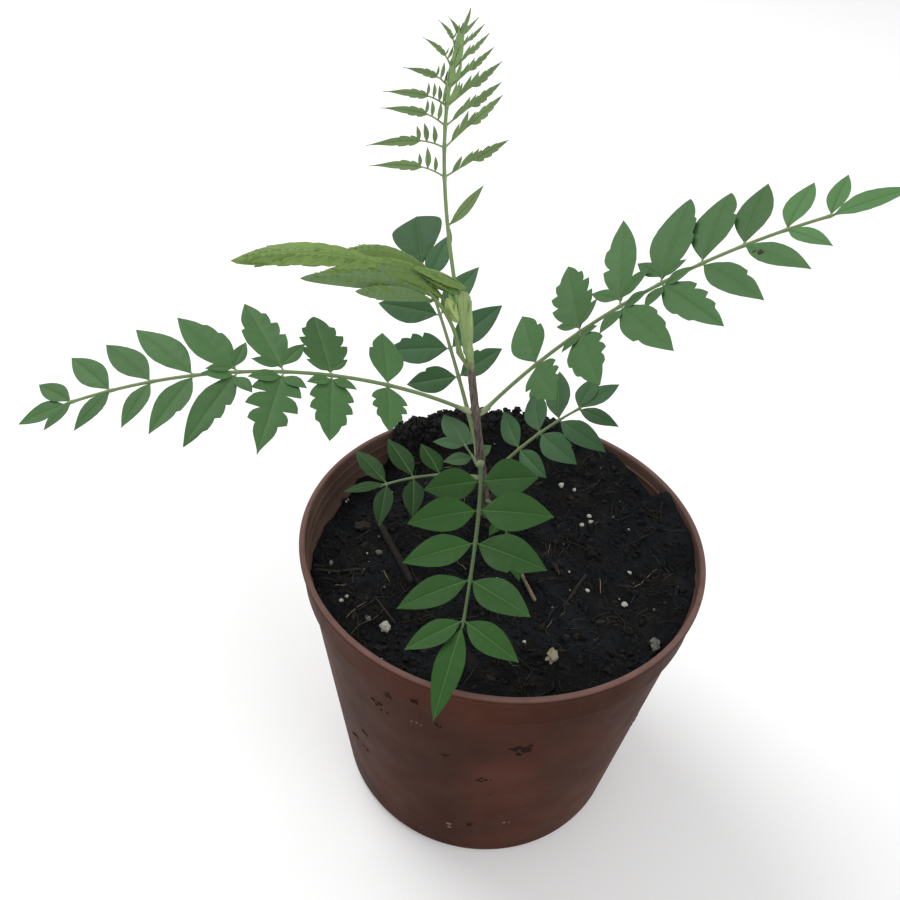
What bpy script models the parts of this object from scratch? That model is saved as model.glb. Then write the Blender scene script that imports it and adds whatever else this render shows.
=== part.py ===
"""A young jacaranda tree in a round plastic nursery pot.

The pot stands on the world origin, +Z is up and -Y is the front.  Every
compound leaf is one node: a midrib that leaves the stem, with its leaflets
fused to it.  All sizes are in metres and all angles in degrees.
"""

import math
import random
from dataclasses import dataclass

import bmesh
import bpy
from mathutils import Matrix, Vector

# Driving dimensions of the pot
POT_HEIGHT = 0.117
RIM_RADIUS = 0.070
FOOT_RADIUS = 0.0543
WALL = 0.0016
FLOOR = 0.0018
COLLAR_HEIGHT = 0.0145
COLLAR_STEP = 0.0016
COLLAR_SHELF = 0.0025
COLLAR_DRAFT = 0.0014
BODY_INSET = 0.0030
RIM_LAND = 0.0018
RIM_LAND_DEPTH = 0.0012
DRAIN_HOLES = 8
DRAIN_RADIUS = 0.0045
DRAIN_CIRCLE = 0.040
TURNED_STEPS = 56

# Driving dimensions of the soil and the stem
GAP = 0.0003
SOIL_DROP = 0.0115
SOIL_HEAP = 0.0150
HEAP_CENTRE = -0.006
HEAP_SPREAD = 0.044
SOIL_DIP = 0.0035
SOIL_SLANT = 0.0025
SOIL_RINGS = 8
STEM_FOOT = Vector((-0.0050, 0.0209))
STEM_LENGTH = 0.0925
STEM_LEAN = 0.160
STEM_RADIUS_LOW = 0.00185
STEM_RADIUS_HIGH = 0.00150
ROOT_FLARE = 0.0009
NODE_SWELLING = 0.00035
NODE_LENGTH = 0.0013
NODE_HEIGHTS = (0.0175, 0.0264, 0.0473, 0.0712)
STEM_FLAT_RADIUS = 0.0055
TIP_SWELLING = 0.0006
TIP_SWELLING_START = 0.0735
TIP_SWELLING_LENGTH = 0.0080
TIP_DOME = 0.0022
BUD_HEIGHT = 0.0828
BUD_HEADING = 188.0
BUD_PITCH = 62.0
BUD_LENGTH = 0.0090
BUD_RADIUS = 0.0016

# Driving dimensions shared by all the leaves
MIDRIB_STEP = 0.0055
LEAFLET_THICKNESS = 0.00045
LEAFLET_SLIMNESS = 0.47
LEAFLET_STALK = 0.10
LEAFLET_ROOT = 0.00045
LEAFLET_CURL = 0.10
LEAFLET_CUP = 0.16
WIDEST_POINT = 0.42
PLAIN_STATIONS = (0.22, 0.42, 0.66, 0.86)
SMALL_STATIONS = (0.32, 0.70)
COMB_BACK_SHARE = 0.16
ODD_SLIMNESS = 0.26
END_SLIMNESS_SHARE = 0.90
TOOTHED_SHARE = 0.66
TOOTH_LEAN = 0.72
END_LEAFLET_SEAT = 0.0012
SIDE_LEAFLET_SHARE = 0.30
SIDE_LEAFLET_SEAT = 0.07
SIDE_LEAFLET_SPLAY = 62.0


@dataclass(frozen=True)
class Leaf:
    """One compound leaf; pairs of values run from the stem to the leaf's tip."""

    name: str
    height: float
    heading: float
    rise: tuple
    reach: float
    pairs: int
    span: tuple
    splay: tuple
    sizes: tuple
    end_size: float
    sweep: float = 0.0
    twist: float = 0.0
    lift: float = 4.0
    crowding: float = 1.0
    thickness: tuple = (0.0010, 0.0005)
    slimness: tuple = (LEAFLET_SLIMNESS, LEAFLET_SLIMNESS)
    last_size: float = 0.0
    end_lift: float = 0.0
    lobed_pairs: int = 0
    teeth: int = 2
    notch: float = 0.72
    combed: bool = False
    side_pairs: tuple = (0, 0)
    odd_leaflets: tuple = ()
    colour: tuple = (0.080, 0.190, 0.060)


SHADE_GREEN = (0.045, 0.125, 0.045)
MATURE_GREEN = (0.085, 0.200, 0.070)
YOUNG_GREEN = (0.200, 0.340, 0.080)

LEAVES = (
    Leaf("leaf_left", 0.0473, 192.2, (30.3, -17.0), 0.1314, 8, (0.23, 0.98), (82, 42),
         (0.0225, 0.0288, 0.0083), 0.0164, sweep=3.6, twist=12.8, lift=4.8, crowding=0.85,
         slimness=(0.38, 0.46), lobed_pairs=4, side_pairs=(1, 4), last_size=0.0105,
         colour=MATURE_GREEN),
    Leaf("leaf_right", 0.0473, 5, (54, 25), 0.124, 8, (0.20, 0.99), (85, 51),
         (0.0255, 0.0343, 0.0100), 0.0200, sweep=-10.5, twist=-7.2, lift=8.8, crowding=0.86,
         slimness=(0.45, 0.36), lobed_pairs=4, side_pairs=(1, 4), last_size=0.0145,
         end_lift=15, colour=MATURE_GREEN),
    Leaf("leaf_front", 0.0264, 270.5, (19, -20), 0.0761, 5, (0.20, 0.97), (81, 55),
         (0.0192, 0.0236, 0.0189), 0.0269, sweep=-7.4, twist=-10.6, lift=7.3, crowding=0.90,
         colour=SHADE_GREEN),
    Leaf("leaf_back", 0.0264, 109, (32.7, 22.8), 0.0825, 4, (0.37, 0.89), (74.8, 43.3),
         (0.0192, 0.0267, 0.0218), 0.0242, sweep=3.5, twist=27.7, lift=7, crowding=1.16,
         lobed_pairs=2, colour=SHADE_GREEN),
    Leaf("leaf_lower_left", 0.0180, 197.9, (22, -13.6), 0.0351, 3, (0.40, 0.95), (76, 72),
         (0.0164, 0.0198, 0.0206), 0.0141, twist=3, lift=6.6, colour=SHADE_GREEN,
         thickness=(0.0008, 0.00045)),
    Leaf("leaf_lower_right", 0.0175, 21.4, (50.5, 25.8), 0.0416, 4, (0.35, 0.96), (84, 60),
         (0.0179, 0.0224, 0.0169), 0.0163, sweep=-2.6, twist=-3.3, lift=4, crowding=0.92,
         colour=SHADE_GREEN, thickness=(0.0008, 0.00045)),
    Leaf("leaf_small_back", 0.0215, 128, (28, 14), 0.0100, 2, (0.35, 0.90), (75, 60),
         (0.0095, 0.0095, 0.0095), 0.0120, sweep=-3, colour=SHADE_GREEN,
         thickness=(0.0006, 0.0004)),
    Leaf("leaf_small_front", 0.0085, 293, (27, -11), 0.0205, 2, (0.34, 0.73), (70, 48),
         (0.0090, 0.0090, 0.0085), 0.0200, sweep=-8, colour=SHADE_GREEN,
         thickness=(0.0006, 0.0004)),
    Leaf("leaf_tall", 0.0712, 114.6, (54.3, 105.2), 0.0959, 8, (0.56, 0.99), (75, 56),
         (0.0262, 0.0214, 0.0056), 0.0080, sweep=28.5, twist=1.7, crowding=0.79,
         slimness=(0.38, 0.38), lobed_pairs=8, teeth=3, notch=0.30, combed=True,
         odd_leaflets=((0.40, 47, 0.0185),), colour=MATURE_GREEN),
    Leaf("leaf_young", 0.0712, 204.6, (80.3, -24.3), 0.0835, 6, (0.34, 0.95), (35, 8),
         (0.0180, 0.0279, 0.0090), 0.0060, sweep=-26, twist=26, lift=-56, crowding=1.23,
         slimness=(0.31, 0.31), lobed_pairs=6, notch=0.60, colour=YOUNG_GREEN,
         thickness=(0.0013, 0.0005)),
)


def clear_scene():
    """Remove whatever the scene holds before the model is made."""
    for leftover in list(bpy.data.objects):
        bpy.data.objects.remove(leftover, do_unlink=True)


def new_collection(name):
    """Return a new collection linked to the scene."""
    collection = bpy.data.collections.new(name)
    bpy.context.scene.collection.children.link(collection)
    return collection


def finish(name, colour, roughness, metallic=0.0):
    """Return a Principled material of one colour."""
    material = bpy.data.materials.new(name)
    material.use_nodes = True
    shader = material.node_tree.nodes["Principled BSDF"]
    shader.inputs["Base Color"].default_value = (*colour, 1.0)
    shader.inputs["Roughness"].default_value = roughness
    shader.inputs["Metallic"].default_value = metallic
    return material


def place(name, data, collection, material=None):
    """Make an object from mesh or curve data and link it."""
    piece = bpy.data.objects.new(name, data)
    collection.objects.link(piece)
    if material is not None:
        data.materials.append(material)
    return piece


def evaluated_mesh(piece):
    """Return a new mesh that holds an object's shape with its modifiers applied."""
    graph = bpy.context.evaluated_depsgraph_get()
    graph.update()
    return bpy.data.meshes.new_from_object(piece.evaluated_get(graph))


def weld(mesh, distance=0.000001):
    """Join the points of a mesh that lie on each other, such as a tube's caps."""
    work = bmesh.new()
    work.from_mesh(mesh)
    bmesh.ops.remove_doubles(work, verts=work.verts, dist=distance)
    bmesh.ops.recalc_face_normals(work, faces=work.faces)
    work.to_mesh(mesh)
    work.free()


def shade(piece, sharp_angle=40):
    """Shade an object smooth up to a given edge angle."""
    piece.data.shade_smooth()
    piece.data.set_sharp_from_angle(angle=math.radians(sharp_angle))


def turned(name, profile, collection, material):
    """Turn a profile of (radius, height) points round the Z axis."""
    line = bpy.data.meshes.new(name)
    points = [(radius, 0.0, height) for radius, height in profile]
    edges = [(i, i + 1) for i in range(len(points) - 1)]
    line.from_pydata(points, edges, [])
    piece = place(name, line, collection, material)
    screw = piece.modifiers.new("turn", 'SCREW')
    screw.axis = 'Z'
    screw.steps = TURNED_STEPS
    screw.render_steps = TURNED_STEPS
    screw.use_merge_vertices = True
    screw.merge_threshold = 0.00005
    screw.use_smooth_shade = True
    return piece


def inner_wall_points():
    """Return the pot's inner side as (height, radius) points, bottom to top."""
    step_top = POT_HEIGHT - COLLAR_HEIGHT + COLLAR_STEP
    step_bottom = step_top - COLLAR_SHELF
    return (
        (FLOOR, FOOT_RADIUS - WALL),
        (step_bottom, body_radius(step_bottom) - WALL),
        (step_top, RIM_RADIUS - BODY_INSET),
        (POT_HEIGHT - RIM_LAND_DEPTH, RIM_RADIUS - RIM_LAND - 0.0004),
        (POT_HEIGHT, RIM_RADIUS - RIM_LAND),
    )


def body_radius(height):
    """Return the outer radius of the pot's tapering body at a height."""
    share = height / (POT_HEIGHT - COLLAR_HEIGHT)
    return FOOT_RADIUS + (RIM_RADIUS - BODY_INSET - FOOT_RADIUS) * share


def inner_radius(height):
    """Return the pot's inner radius at a height."""
    points = inner_wall_points()
    for (low, low_radius), (high, high_radius) in zip(points, points[1:]):
        if height <= high:
            share = (height - low) / (high - low)
            return low_radius + (high_radius - low_radius) * share
    return points[-1][1]


def make_pot(collection, cutters):
    """A tapering moulded pot with a stepped collar and drain holes."""
    collar_foot = POT_HEIGHT - COLLAR_HEIGHT
    inside = [(radius, height) for height, radius in inner_wall_points()]
    outside = [
        (RIM_RADIUS - 0.0005, POT_HEIGHT),
        (RIM_RADIUS, POT_HEIGHT - 0.0006),
        (RIM_RADIUS, POT_HEIGHT - 0.0022),
        (RIM_RADIUS - 0.0006, POT_HEIGHT - 0.0030),
        (RIM_RADIUS - COLLAR_DRAFT, collar_foot + 0.0006),
        (body_radius(collar_foot) + 0.0002, collar_foot - 0.0006),
        (body_radius(0.0030), 0.0030),
        (FOOT_RADIUS - 0.0004, 0.0008),
        (FOOT_RADIUS - 0.0014, 0.0),
    ]
    profile = [(0.0, FLOOR)] + inside + outside + [(0.0, 0.0)]
    brown = finish("pot brown", (0.085, 0.030, 0.022), 0.45)
    pot = turned("pot", profile, collection, brown)
    drill_drain_holes(pot, cutters)


def drill_drain_holes(pot, cutters):
    """Cut a ring of round holes through the pot's floor."""
    work = bmesh.new()
    for i in range(DRAIN_HOLES):
        angle = 2.0 * math.pi * (i + 0.5) / DRAIN_HOLES
        spot = Vector((math.cos(angle), math.sin(angle), 0.0)) * DRAIN_CIRCLE
        spot.z = 0.5 * FLOOR
        bmesh.ops.create_cone(work, cap_ends=True, segments=12, radius1=DRAIN_RADIUS,
                              radius2=DRAIN_RADIUS, depth=3.0 * FLOOR,
                              matrix=Matrix.Translation(spot))
    mesh = bpy.data.meshes.new("drain_cutter")
    work.to_mesh(mesh)
    work.free()
    cutter = place("drain_cutter", mesh, cutters)
    cutter.hide_render = True
    cutter.display_type = 'WIRE'
    drill = pot.modifiers.new("drain holes", 'BOOLEAN')
    drill.operation = 'DIFFERENCE'
    drill.solver = 'EXACT'
    drill.object = cutter


def soil_height(x, y):
    """Return the height of the soil's surface at a point."""
    away = math.hypot(x - STEM_FOOT.x, y - STEM_FOOT.y)
    bumpy = min(1.0, max(0.0, (away - STEM_FLAT_RADIUS) / 0.010))
    at_stem = soil_lie(STEM_FOOT.x, STEM_FOOT.y)
    ripple = 0.0007 * math.sin(190.0 * x + 0.7) * math.sin(170.0 * y + 1.9)
    ripple += 0.0005 * math.sin(420.0 * x + 260.0 * y)
    surface = soil_lie(x, y) + ripple
    return at_stem + (surface - at_stem) * bumpy


def soil_lie(x, y):
    """Return the soil's height without its ripples: a heap, a dip and a slant."""
    toward_back = max(0.0, y / RIM_RADIUS)
    heap = SOIL_HEAP * toward_back ** 3 * math.exp(-((x - HEAP_CENTRE) / HEAP_SPREAD) ** 2)
    dip = SOIL_DIP * math.exp(-((x + 0.050) ** 2 + (y - 0.040) ** 2) / 0.030 ** 2)
    return POT_HEIGHT - SOIL_DROP + heap - dip + SOIL_SLANT * x / RIM_RADIUS


def make_soil(collection):
    """The potting soil: it fills the pot and is heaped towards the back."""
    level = POT_HEIGHT - SOIL_DROP
    wall = inner_wall_points()
    low = FLOOR + GAP
    shoulder = wall[1][0]
    step = wall[2][0]
    top_radius = inner_radius(level) - GAP
    sides = [(inner_radius(height) - GAP, height) for height in (step, shoulder, low)]
    rings = [(top_radius * i / SOIL_RINGS, level) for i in range(SOIL_RINGS)]
    profile = rings + [(top_radius, level)] + sides + [(0.0, low)]
    dark = finish("soil dark", (0.012, 0.010, 0.009), 0.95)
    soil = turned("soil", profile, collection, dark)
    mesh = evaluated_mesh(soil)
    soil.modifiers.clear()
    soil.data = mesh
    raise_soil_surface(mesh, top_radius, level)
    shade(soil)


def raise_soil_surface(mesh, top_radius, level):
    """Push the flat top of the turned soil into its heaps and hollows."""
    wall = inner_wall_points()
    lip = 0.0002
    for vertex in mesh.vertices:
        spot = vertex.co
        radius = math.hypot(spot.x, spot.y)
        if radius < 0.000001:
            if spot.z > POT_HEIGHT / 2:
                spot.z = soil_height(0.0, 0.0)
            continue
        across = Vector((spot.x, spot.y)) / radius
        edge = soil_height(across.x * RIM_RADIUS * 0.96, across.y * RIM_RADIUS * 0.96)
        if abs(spot.z - level) < 0.00001:
            reach = (inner_radius(edge) - GAP) * radius / top_radius
            spot.x = across.x * reach
            spot.y = across.y * reach
            on_edge = radius > top_radius * 0.999
            spot.z = edge if on_edge else soil_height(spot.x, spot.y)
        else:
            below = [(wall[2][0], lip), (wall[1][0], 2.0 * lip)]
            for ring_height, drop in below:
                if abs(spot.z - ring_height) < 0.00001:
                    spot.z = min(ring_height, edge - drop)
                    reach = inner_radius(spot.z) - GAP
                    spot.x = across.x * reach
                    spot.y = across.y * reach
                    break


def stem_centre(height):
    """Return the stem's centre at a height above its foot."""
    foot_height = soil_height(STEM_FOOT.x, STEM_FOOT.y) + GAP
    straight = max(0.0, height - 0.0015)
    return Vector((STEM_FOOT.x - STEM_LEAN * straight, STEM_FOOT.y, foot_height + height))


def stem_radius(height):
    """Return the stem's radius: a taper, a flared foot, swollen nodes and a full tip."""
    share = height / STEM_LENGTH
    radius = STEM_RADIUS_LOW + (STEM_RADIUS_HIGH - STEM_RADIUS_LOW) * share
    radius += ROOT_FLARE * math.exp(-height / 0.003)
    for node in NODE_HEIGHTS:
        radius += NODE_SWELLING * math.exp(-((height - node) / NODE_LENGTH) ** 2)
    full = min(1.0, max(0.0, (height - TIP_SWELLING_START) / TIP_SWELLING_LENGTH))
    radius += TIP_SWELLING * full
    into_dome = max(0.0, (height - STEM_LENGTH + TIP_DOME) / TIP_DOME)
    return radius * math.sqrt(1.0 - 0.85 * min(1.0, into_dome) ** 2)


def tube_mesh(name, points, radii, sides_level):
    """Return a closed tube through points, with a radius at each."""
    curve = bpy.data.curves.new(name, 'CURVE')
    curve.dimensions = '3D'
    curve.bevel_depth = 1.0
    curve.bevel_resolution = sides_level
    curve.use_fill_caps = True
    spline = curve.splines.new('POLY')
    spline.points.add(len(points) - 1)
    for control, point, radius in zip(spline.points, points, radii):
        control.co = (*point, 1.0)
        control.radius = radius
    holder = place(name, curve, bpy.context.scene.collection)
    mesh = evaluated_mesh(holder)
    bpy.data.objects.remove(holder, do_unlink=True)
    bpy.data.curves.remove(curve)
    weld(mesh)
    return mesh


def make_stem(collection):
    """The stem, from a flat cut on the soil to its growing tip."""
    heights = {0.0, 0.0008, 0.0016, 0.0030, 0.0060, STEM_LENGTH}
    for node in NODE_HEIGHTS:
        heights.update((node - 0.0022, node - 0.0009, node, node + 0.0009, node + 0.0022))
    heights.update(STEM_LENGTH - TIP_DOME * share for share in (1.0, 0.5, 0.2))
    filler = 0.0105
    while filler < STEM_LENGTH - TIP_DOME:
        heights.add(filler)
        filler += MIDRIB_STEP
    order = thinned(sorted(heights), 0.0004)
    points = [stem_centre(height) for height in order]
    radii = [stem_radius(height) for height in order]
    bark = finish("stem bark", (0.110, 0.075, 0.060), 0.70)
    stem = place("stem", tube_mesh("stem", points, radii, 3), collection, bark)
    shade(stem)


def thinned(values, closest):
    """Drop each value that follows the one before it too closely."""
    kept = [values[0]]
    for value in values[1:]:
        if value - kept[-1] >= closest:
            kept.append(value)
    return kept


def make_bud(collection):
    """The folded bud beside the growing tip, on the stem's left."""
    work = bmesh.new()
    bmesh.ops.create_uvsphere(work, u_segments=12, v_segments=8, radius=1.0)
    for vertex in work.verts:
        pointed = 1.0 - 0.45 * max(0.0, vertex.co.z) ** 1.5
        vertex.co.x *= pointed
        vertex.co.y *= pointed
    mesh = bpy.data.meshes.new("tip_bud")
    work.to_mesh(mesh)
    work.free()
    bud = place("tip_bud", mesh, collection, finish("bud green", YOUNG_GREEN, 0.5))
    out = direction(BUD_HEADING, BUD_PITCH)
    sideways = direction(BUD_HEADING, 0.0)
    seat = stem_radius(BUD_HEIGHT) + GAP + BUD_RADIUS * 0.25
    bud.scale = (BUD_RADIUS, BUD_RADIUS * 0.9, BUD_LENGTH / 2.0)
    bud.rotation_mode = 'QUATERNION'
    bud.rotation_quaternion = out.to_track_quat('Z', 'Y')
    bud.location = stem_centre(BUD_HEIGHT) + sideways * seat + out * (BUD_LENGTH / 2.0)
    shade(bud, 60)


def direction(heading, pitch):
    """Return the unit vector with a compass heading and a pitch in degrees."""
    turn = math.radians(heading)
    lift = math.radians(pitch)
    flat = math.cos(lift)
    return Vector((math.cos(turn) * flat, math.sin(turn) * flat, math.sin(lift)))


class Midrib:
    """The curved rib of a leaf: points and tangents worked out from its angles."""

    def __init__(self, leaf):
        self.leaf = leaf
        self.count = max(4, round(leaf.reach / MIDRIB_STEP))
        out = direction(leaf.heading, 0.0)
        tilt = math.sin(math.radians(abs(leaf.rise[0])))
        clear = stem_radius(leaf.height) * 0.98 + GAP + leaf.thickness[0] * 0.90 * tilt
        start = stem_centre(leaf.height) + out * clear
        self.points = [start]
        fine = 8
        stride = leaf.reach / (self.count * fine)
        spot = start
        for i in range(self.count * fine):
            spot = spot + self.tangent((i + 0.5) / (self.count * fine)) * stride
            if (i + 1) % fine == 0:
                self.points.append(spot)

    def tangent(self, share):
        """Return the rib's direction at a share of its length."""
        leaf = self.leaf
        pitch = leaf.rise[0] + (leaf.rise[1] - leaf.rise[0]) * share
        return direction(leaf.heading + leaf.sweep * share, pitch)

    def point(self, share):
        """Return the rib's centre at a share of its length."""
        place_on_rib = min(max(share, 0.0), 1.0) * self.count
        index = min(int(place_on_rib), self.count - 1)
        return self.points[index].lerp(self.points[index + 1], place_on_rib - index)

    def radius(self, share):
        """Return the rib's radius at a share of its length."""
        thick, thin = self.leaf.thickness
        return thick + (thin - thick) * share

    def frame(self, share):
        """Return the rib's tangent, its right-hand side and its upper side."""
        along = self.tangent(share)
        heading = self.leaf.heading + self.leaf.sweep * share
        right = direction(heading - 90.0, 0.0)
        upper = right.cross(along)
        roll = Matrix.Rotation(math.radians(-self.leaf.twist), 3, along)
        return along, roll @ right, roll @ upper


def envelope(share, slimness):
    """Return the half width of a plain leaflet, as a share of its length."""
    if share <= WIDEST_POINT:
        bulge = math.sin(0.5 * math.pi * share / WIDEST_POINT) ** 0.75
    else:
        bulge = math.cos(0.5 * math.pi * (share - WIDEST_POINT) / (1.0 - WIDEST_POINT)) ** 0.85
    return 0.5 * slimness * bulge


def leaflet_stations(slimness, teeth, notch):
    """Return (share, half width) stations along a leaflet, from stalk to tip.

    No teeth makes a plain outline and one tooth a plain outline of fewer stations.
    """
    begin = LEAFLET_STALK
    if teeth < 2:
        shares = PLAIN_STATIONS if teeth == 0 else SMALL_STATIONS
        return [(share, envelope((share - begin) / (1.0 - begin), slimness)) for share in shares]
    stations = []
    pitch = TOOTHED_SHARE / teeth
    for i in range(teeth):
        point = begin + pitch * (i + TOOTH_LEAN)
        valley = begin + pitch * (i + 1.0)
        wide = envelope((point - begin) / (1.0 - begin), slimness)
        narrow = envelope((valley - begin) / (1.0 - begin), slimness) * notch
        stations.append((point, wide))
        stations.append((valley, narrow))
    tip_share = 0.5 * (1.0 + stations[-1][0])
    tip_width = envelope((tip_share - begin) / (1.0 - begin), slimness)
    return stations + [(tip_share, tip_width)]


def leaflet(length, slimness, teeth, notch, group, comb_side=0.0):
    """Make one leaflet along +X, cupped about its rib and curling down at its tip.

    A comb side of +1 or -1 keeps the teeth on that side of the rib only.
    """
    stations = [(0.0, LEAFLET_ROOT / length), (LEAFLET_STALK, 1.2 * LEAFLET_ROOT / length)]
    stations += leaflet_stations(slimness, teeth, notch)
    stations.append((1.0, 0.0))
    work = bmesh.new()
    rows = len(stations) - 1
    bmesh.ops.create_grid(work, x_segments=rows, y_segments=2, size=0.5)
    for vertex in work.verts:
        row = round((vertex.co.x + 0.5) * rows)
        side = round(vertex.co.y * 2.0)
        share, half_width = stations[row]
        if side * comb_side < 0.0:
            half_width = min(half_width, COMB_BACK_SHARE * slimness)
        across = side * half_width * length
        drop = LEAFLET_CURL * length * share ** 2
        vertex.co = (share * length, across, abs(across) * LEAFLET_CUP - drop)
    bmesh.ops.remove_doubles(work, verts=work.verts, dist=0.00001)
    mesh = bpy.data.meshes.new("leaflet")
    work.to_mesh(mesh)
    work.free()
    piece = place("leaflet", mesh, group)
    thicken = piece.modifiers.new("thickness", 'SOLIDIFY')
    thicken.thickness = LEAFLET_THICKNESS
    thicken.offset = 0.0
    return piece


def size_along(sizes, share):
    """Return a smooth value through three sizes at the ends and the middle."""
    first, middle, last = sizes
    return (first * (1.0 - share) * (1.0 - 2.0 * share)
            + middle * 4.0 * share * (1.0 - share)
            + last * share * (2.0 * share - 1.0))


def aim(piece, start, along, upper):
    """Place a leaflet with its rib along one direction and its face to another."""
    across = upper.cross(along).normalized()
    face = along.cross(across).normalized()
    turn = Matrix((along, across, face)).transposed().to_4x4()
    piece.matrix_world = Matrix.Translation(start) @ turn


def grow_leaflets(leaf, rib, group):
    """Place the pairs of leaflets and the end leaflet on a leaf's rib."""
    dice = random.Random(leaf.name)
    for pair in range(leaf.pairs):
        share = pair / (leaf.pairs - 1)
        at = leaf.span[0] + (leaf.span[1] - leaf.span[0]) * share ** leaf.crowding
        along, right, upper = rib.frame(at)
        lobed = pair < leaf.lobed_pairs
        size = size_along(leaf.sizes, share)
        if pair == leaf.pairs - 1 and leaf.last_size > 0.0:
            size = leaf.last_size
        for side, slimness in zip((-1.0, 1.0), leaf.slimness):
            splay = leaf.splay[0] + (leaf.splay[1] - leaf.splay[0]) * share
            splay = math.radians(splay + dice.uniform(-4.0, 4.0))
            lift = math.radians(leaf.lift + dice.uniform(-4.0, 4.0))
            length = size * dice.uniform(0.95, 1.05)
            outward = right * (side * math.cos(lift)) + upper * math.sin(lift)
            heading = (along * math.cos(splay) + outward * math.sin(splay)).normalized()
            blade = leaflet(length, slimness, leaf.teeth if lobed else 0, leaf.notch,
                            group, comb_side=side if leaf.combed else 0.0)
            aim(blade, rib.point(at), heading, upper)
            if leaf.side_pairs[0] <= pair < leaf.side_pairs[1]:
                grow_side_leaflets(rib.point(at), heading, upper, length, group)
    for at, splay, length in leaf.odd_leaflets:
        along, right, upper = rib.frame(at)
        turn = math.radians(splay)
        blade = leaflet(length, ODD_SLIMNESS, 0, 1.0, group)
        aim(blade, rib.point(at), along * math.cos(turn) + right * math.sin(turn), upper)
    along, right, upper = rib.frame(1.0)
    turn = math.radians(leaf.end_lift)
    blade = leaflet(leaf.end_size, max(leaf.slimness) * END_SLIMNESS_SHARE, 0, 1.0, group)
    aim(blade, rib.point(1.0) - along * END_LEAFLET_SEAT,
        along * math.cos(turn) + upper * math.sin(turn), upper)


def grow_side_leaflets(root, heading, upper, length, group):
    """Place the two small leaflets that stand at the foot of a lobed leaflet."""
    across = upper.cross(heading).normalized()
    seat = root + heading * (SIDE_LEAFLET_SEAT * length)
    for side in (-1.0, 1.0):
        splay = math.radians(SIDE_LEAFLET_SPLAY)
        out = heading * math.cos(splay) + across * (side * math.sin(splay)) + upper * 0.25
        small = leaflet(SIDE_LEAFLET_SHARE * length, LEAFLET_SLIMNESS, 1, 1.0, group)
        aim(small, seat, out.normalized(), upper)


def keep_outer_shell(mesh):
    """Fill the hollows that fusing sealed and drop loose scraps: one shell stays."""
    work = bmesh.new()
    work.from_mesh(mesh)
    waiting = set(work.verts)
    shells = []
    while waiting:
        shell = [waiting.pop()]
        for vertex in shell:
            for edge in vertex.link_edges:
                other = edge.other_vert(vertex)
                if other in waiting:
                    waiting.discard(other)
                    shell.append(other)
        shells.append(shell)
    shells.sort(key=len)
    scraps = [vertex for shell in shells[:-1] for vertex in shell]
    bmesh.ops.delete(work, geom=scraps, context='VERTS')
    work.to_mesh(mesh)
    work.free()


def make_leaf(leaf, collection):
    """Grow one compound leaf and fuse its leaflets to its rib."""
    rib = Midrib(leaf)
    radii = [rib.radius(i / rib.count) for i in range(rib.count + 1)]
    mesh = tube_mesh(leaf.name, rib.points, radii, 0)
    green = finish(leaf.name + " green", leaf.colour, 0.5)
    body = place(leaf.name, mesh, collection, green)
    group = new_collection("leaflets of " + leaf.name)
    grow_leaflets(leaf, rib, group)
    join = body.modifiers.new("leaflets", 'BOOLEAN')
    join.operation = 'UNION'
    join.operand_type = 'COLLECTION'
    join.collection = group
    join.solver = 'EXACT'
    joined = evaluated_mesh(body)
    body.modifiers.clear()
    body.data = joined
    keep_outer_shell(joined)
    if not joined.materials:
        joined.materials.append(green)
    for blade in list(group.objects):
        bpy.data.objects.remove(blade, do_unlink=True)
    bpy.data.collections.remove(group)
    shade(body)


def main():
    """Build the pot, the soil, the stem with its bud, and every leaf."""
    clear_scene()
    plant = new_collection("jacaranda sapling")
    cutters = new_collection("cutters")
    make_pot(plant, cutters)
    make_soil(plant)
    make_stem(plant)
    make_bud(plant)
    for leaf in LEAVES:
        make_leaf(leaf, plant)
    bpy.context.view_layer.update()


main()
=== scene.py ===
"""A young jacaranda tree in a round plastic nursery pot, dressed for rendering.

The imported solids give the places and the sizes. Each operator makes one part
of the plant over them: the pot, the soil with its litter, the stem, the bud
and the compound leaves, which grow by the same rule as the solids do.
Sizes are in metres and angles in degrees.
"""

import random
from dataclasses import dataclass
from math import asin, atan2, cos, degrees, exp, hypot, pi, radians, remainder, sin, sqrt, tan, tau

import bmesh
import bpy
from mathutils import Matrix, Vector, noise


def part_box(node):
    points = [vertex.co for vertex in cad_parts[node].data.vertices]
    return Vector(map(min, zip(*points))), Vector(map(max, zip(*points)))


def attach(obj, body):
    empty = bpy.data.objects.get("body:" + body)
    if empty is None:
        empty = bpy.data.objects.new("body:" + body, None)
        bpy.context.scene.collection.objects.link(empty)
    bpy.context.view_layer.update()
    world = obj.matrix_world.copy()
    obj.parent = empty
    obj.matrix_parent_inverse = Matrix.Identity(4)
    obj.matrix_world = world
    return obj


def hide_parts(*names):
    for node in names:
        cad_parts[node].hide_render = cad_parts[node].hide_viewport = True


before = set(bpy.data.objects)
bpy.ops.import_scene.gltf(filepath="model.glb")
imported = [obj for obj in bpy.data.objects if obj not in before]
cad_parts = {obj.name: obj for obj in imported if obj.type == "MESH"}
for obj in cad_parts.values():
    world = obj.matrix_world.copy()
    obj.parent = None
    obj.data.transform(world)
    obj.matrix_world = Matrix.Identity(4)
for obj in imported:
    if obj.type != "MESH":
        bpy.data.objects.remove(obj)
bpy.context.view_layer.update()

bl_info = {
    "name": "Potted Jacaranda Sapling",
    "version": (1, 0, 0),
    "blender": (4, 5, 0),
    "location": "View3D > Sidebar > Jacaranda",
    "description": "Makes the pot, soil, stem and feathery leaves of a young jacaranda tree",
    "category": "Add Mesh",
}

BODY = "root"

# A full turn, as the random draws take it
FULL_TURN = 6.283

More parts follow.
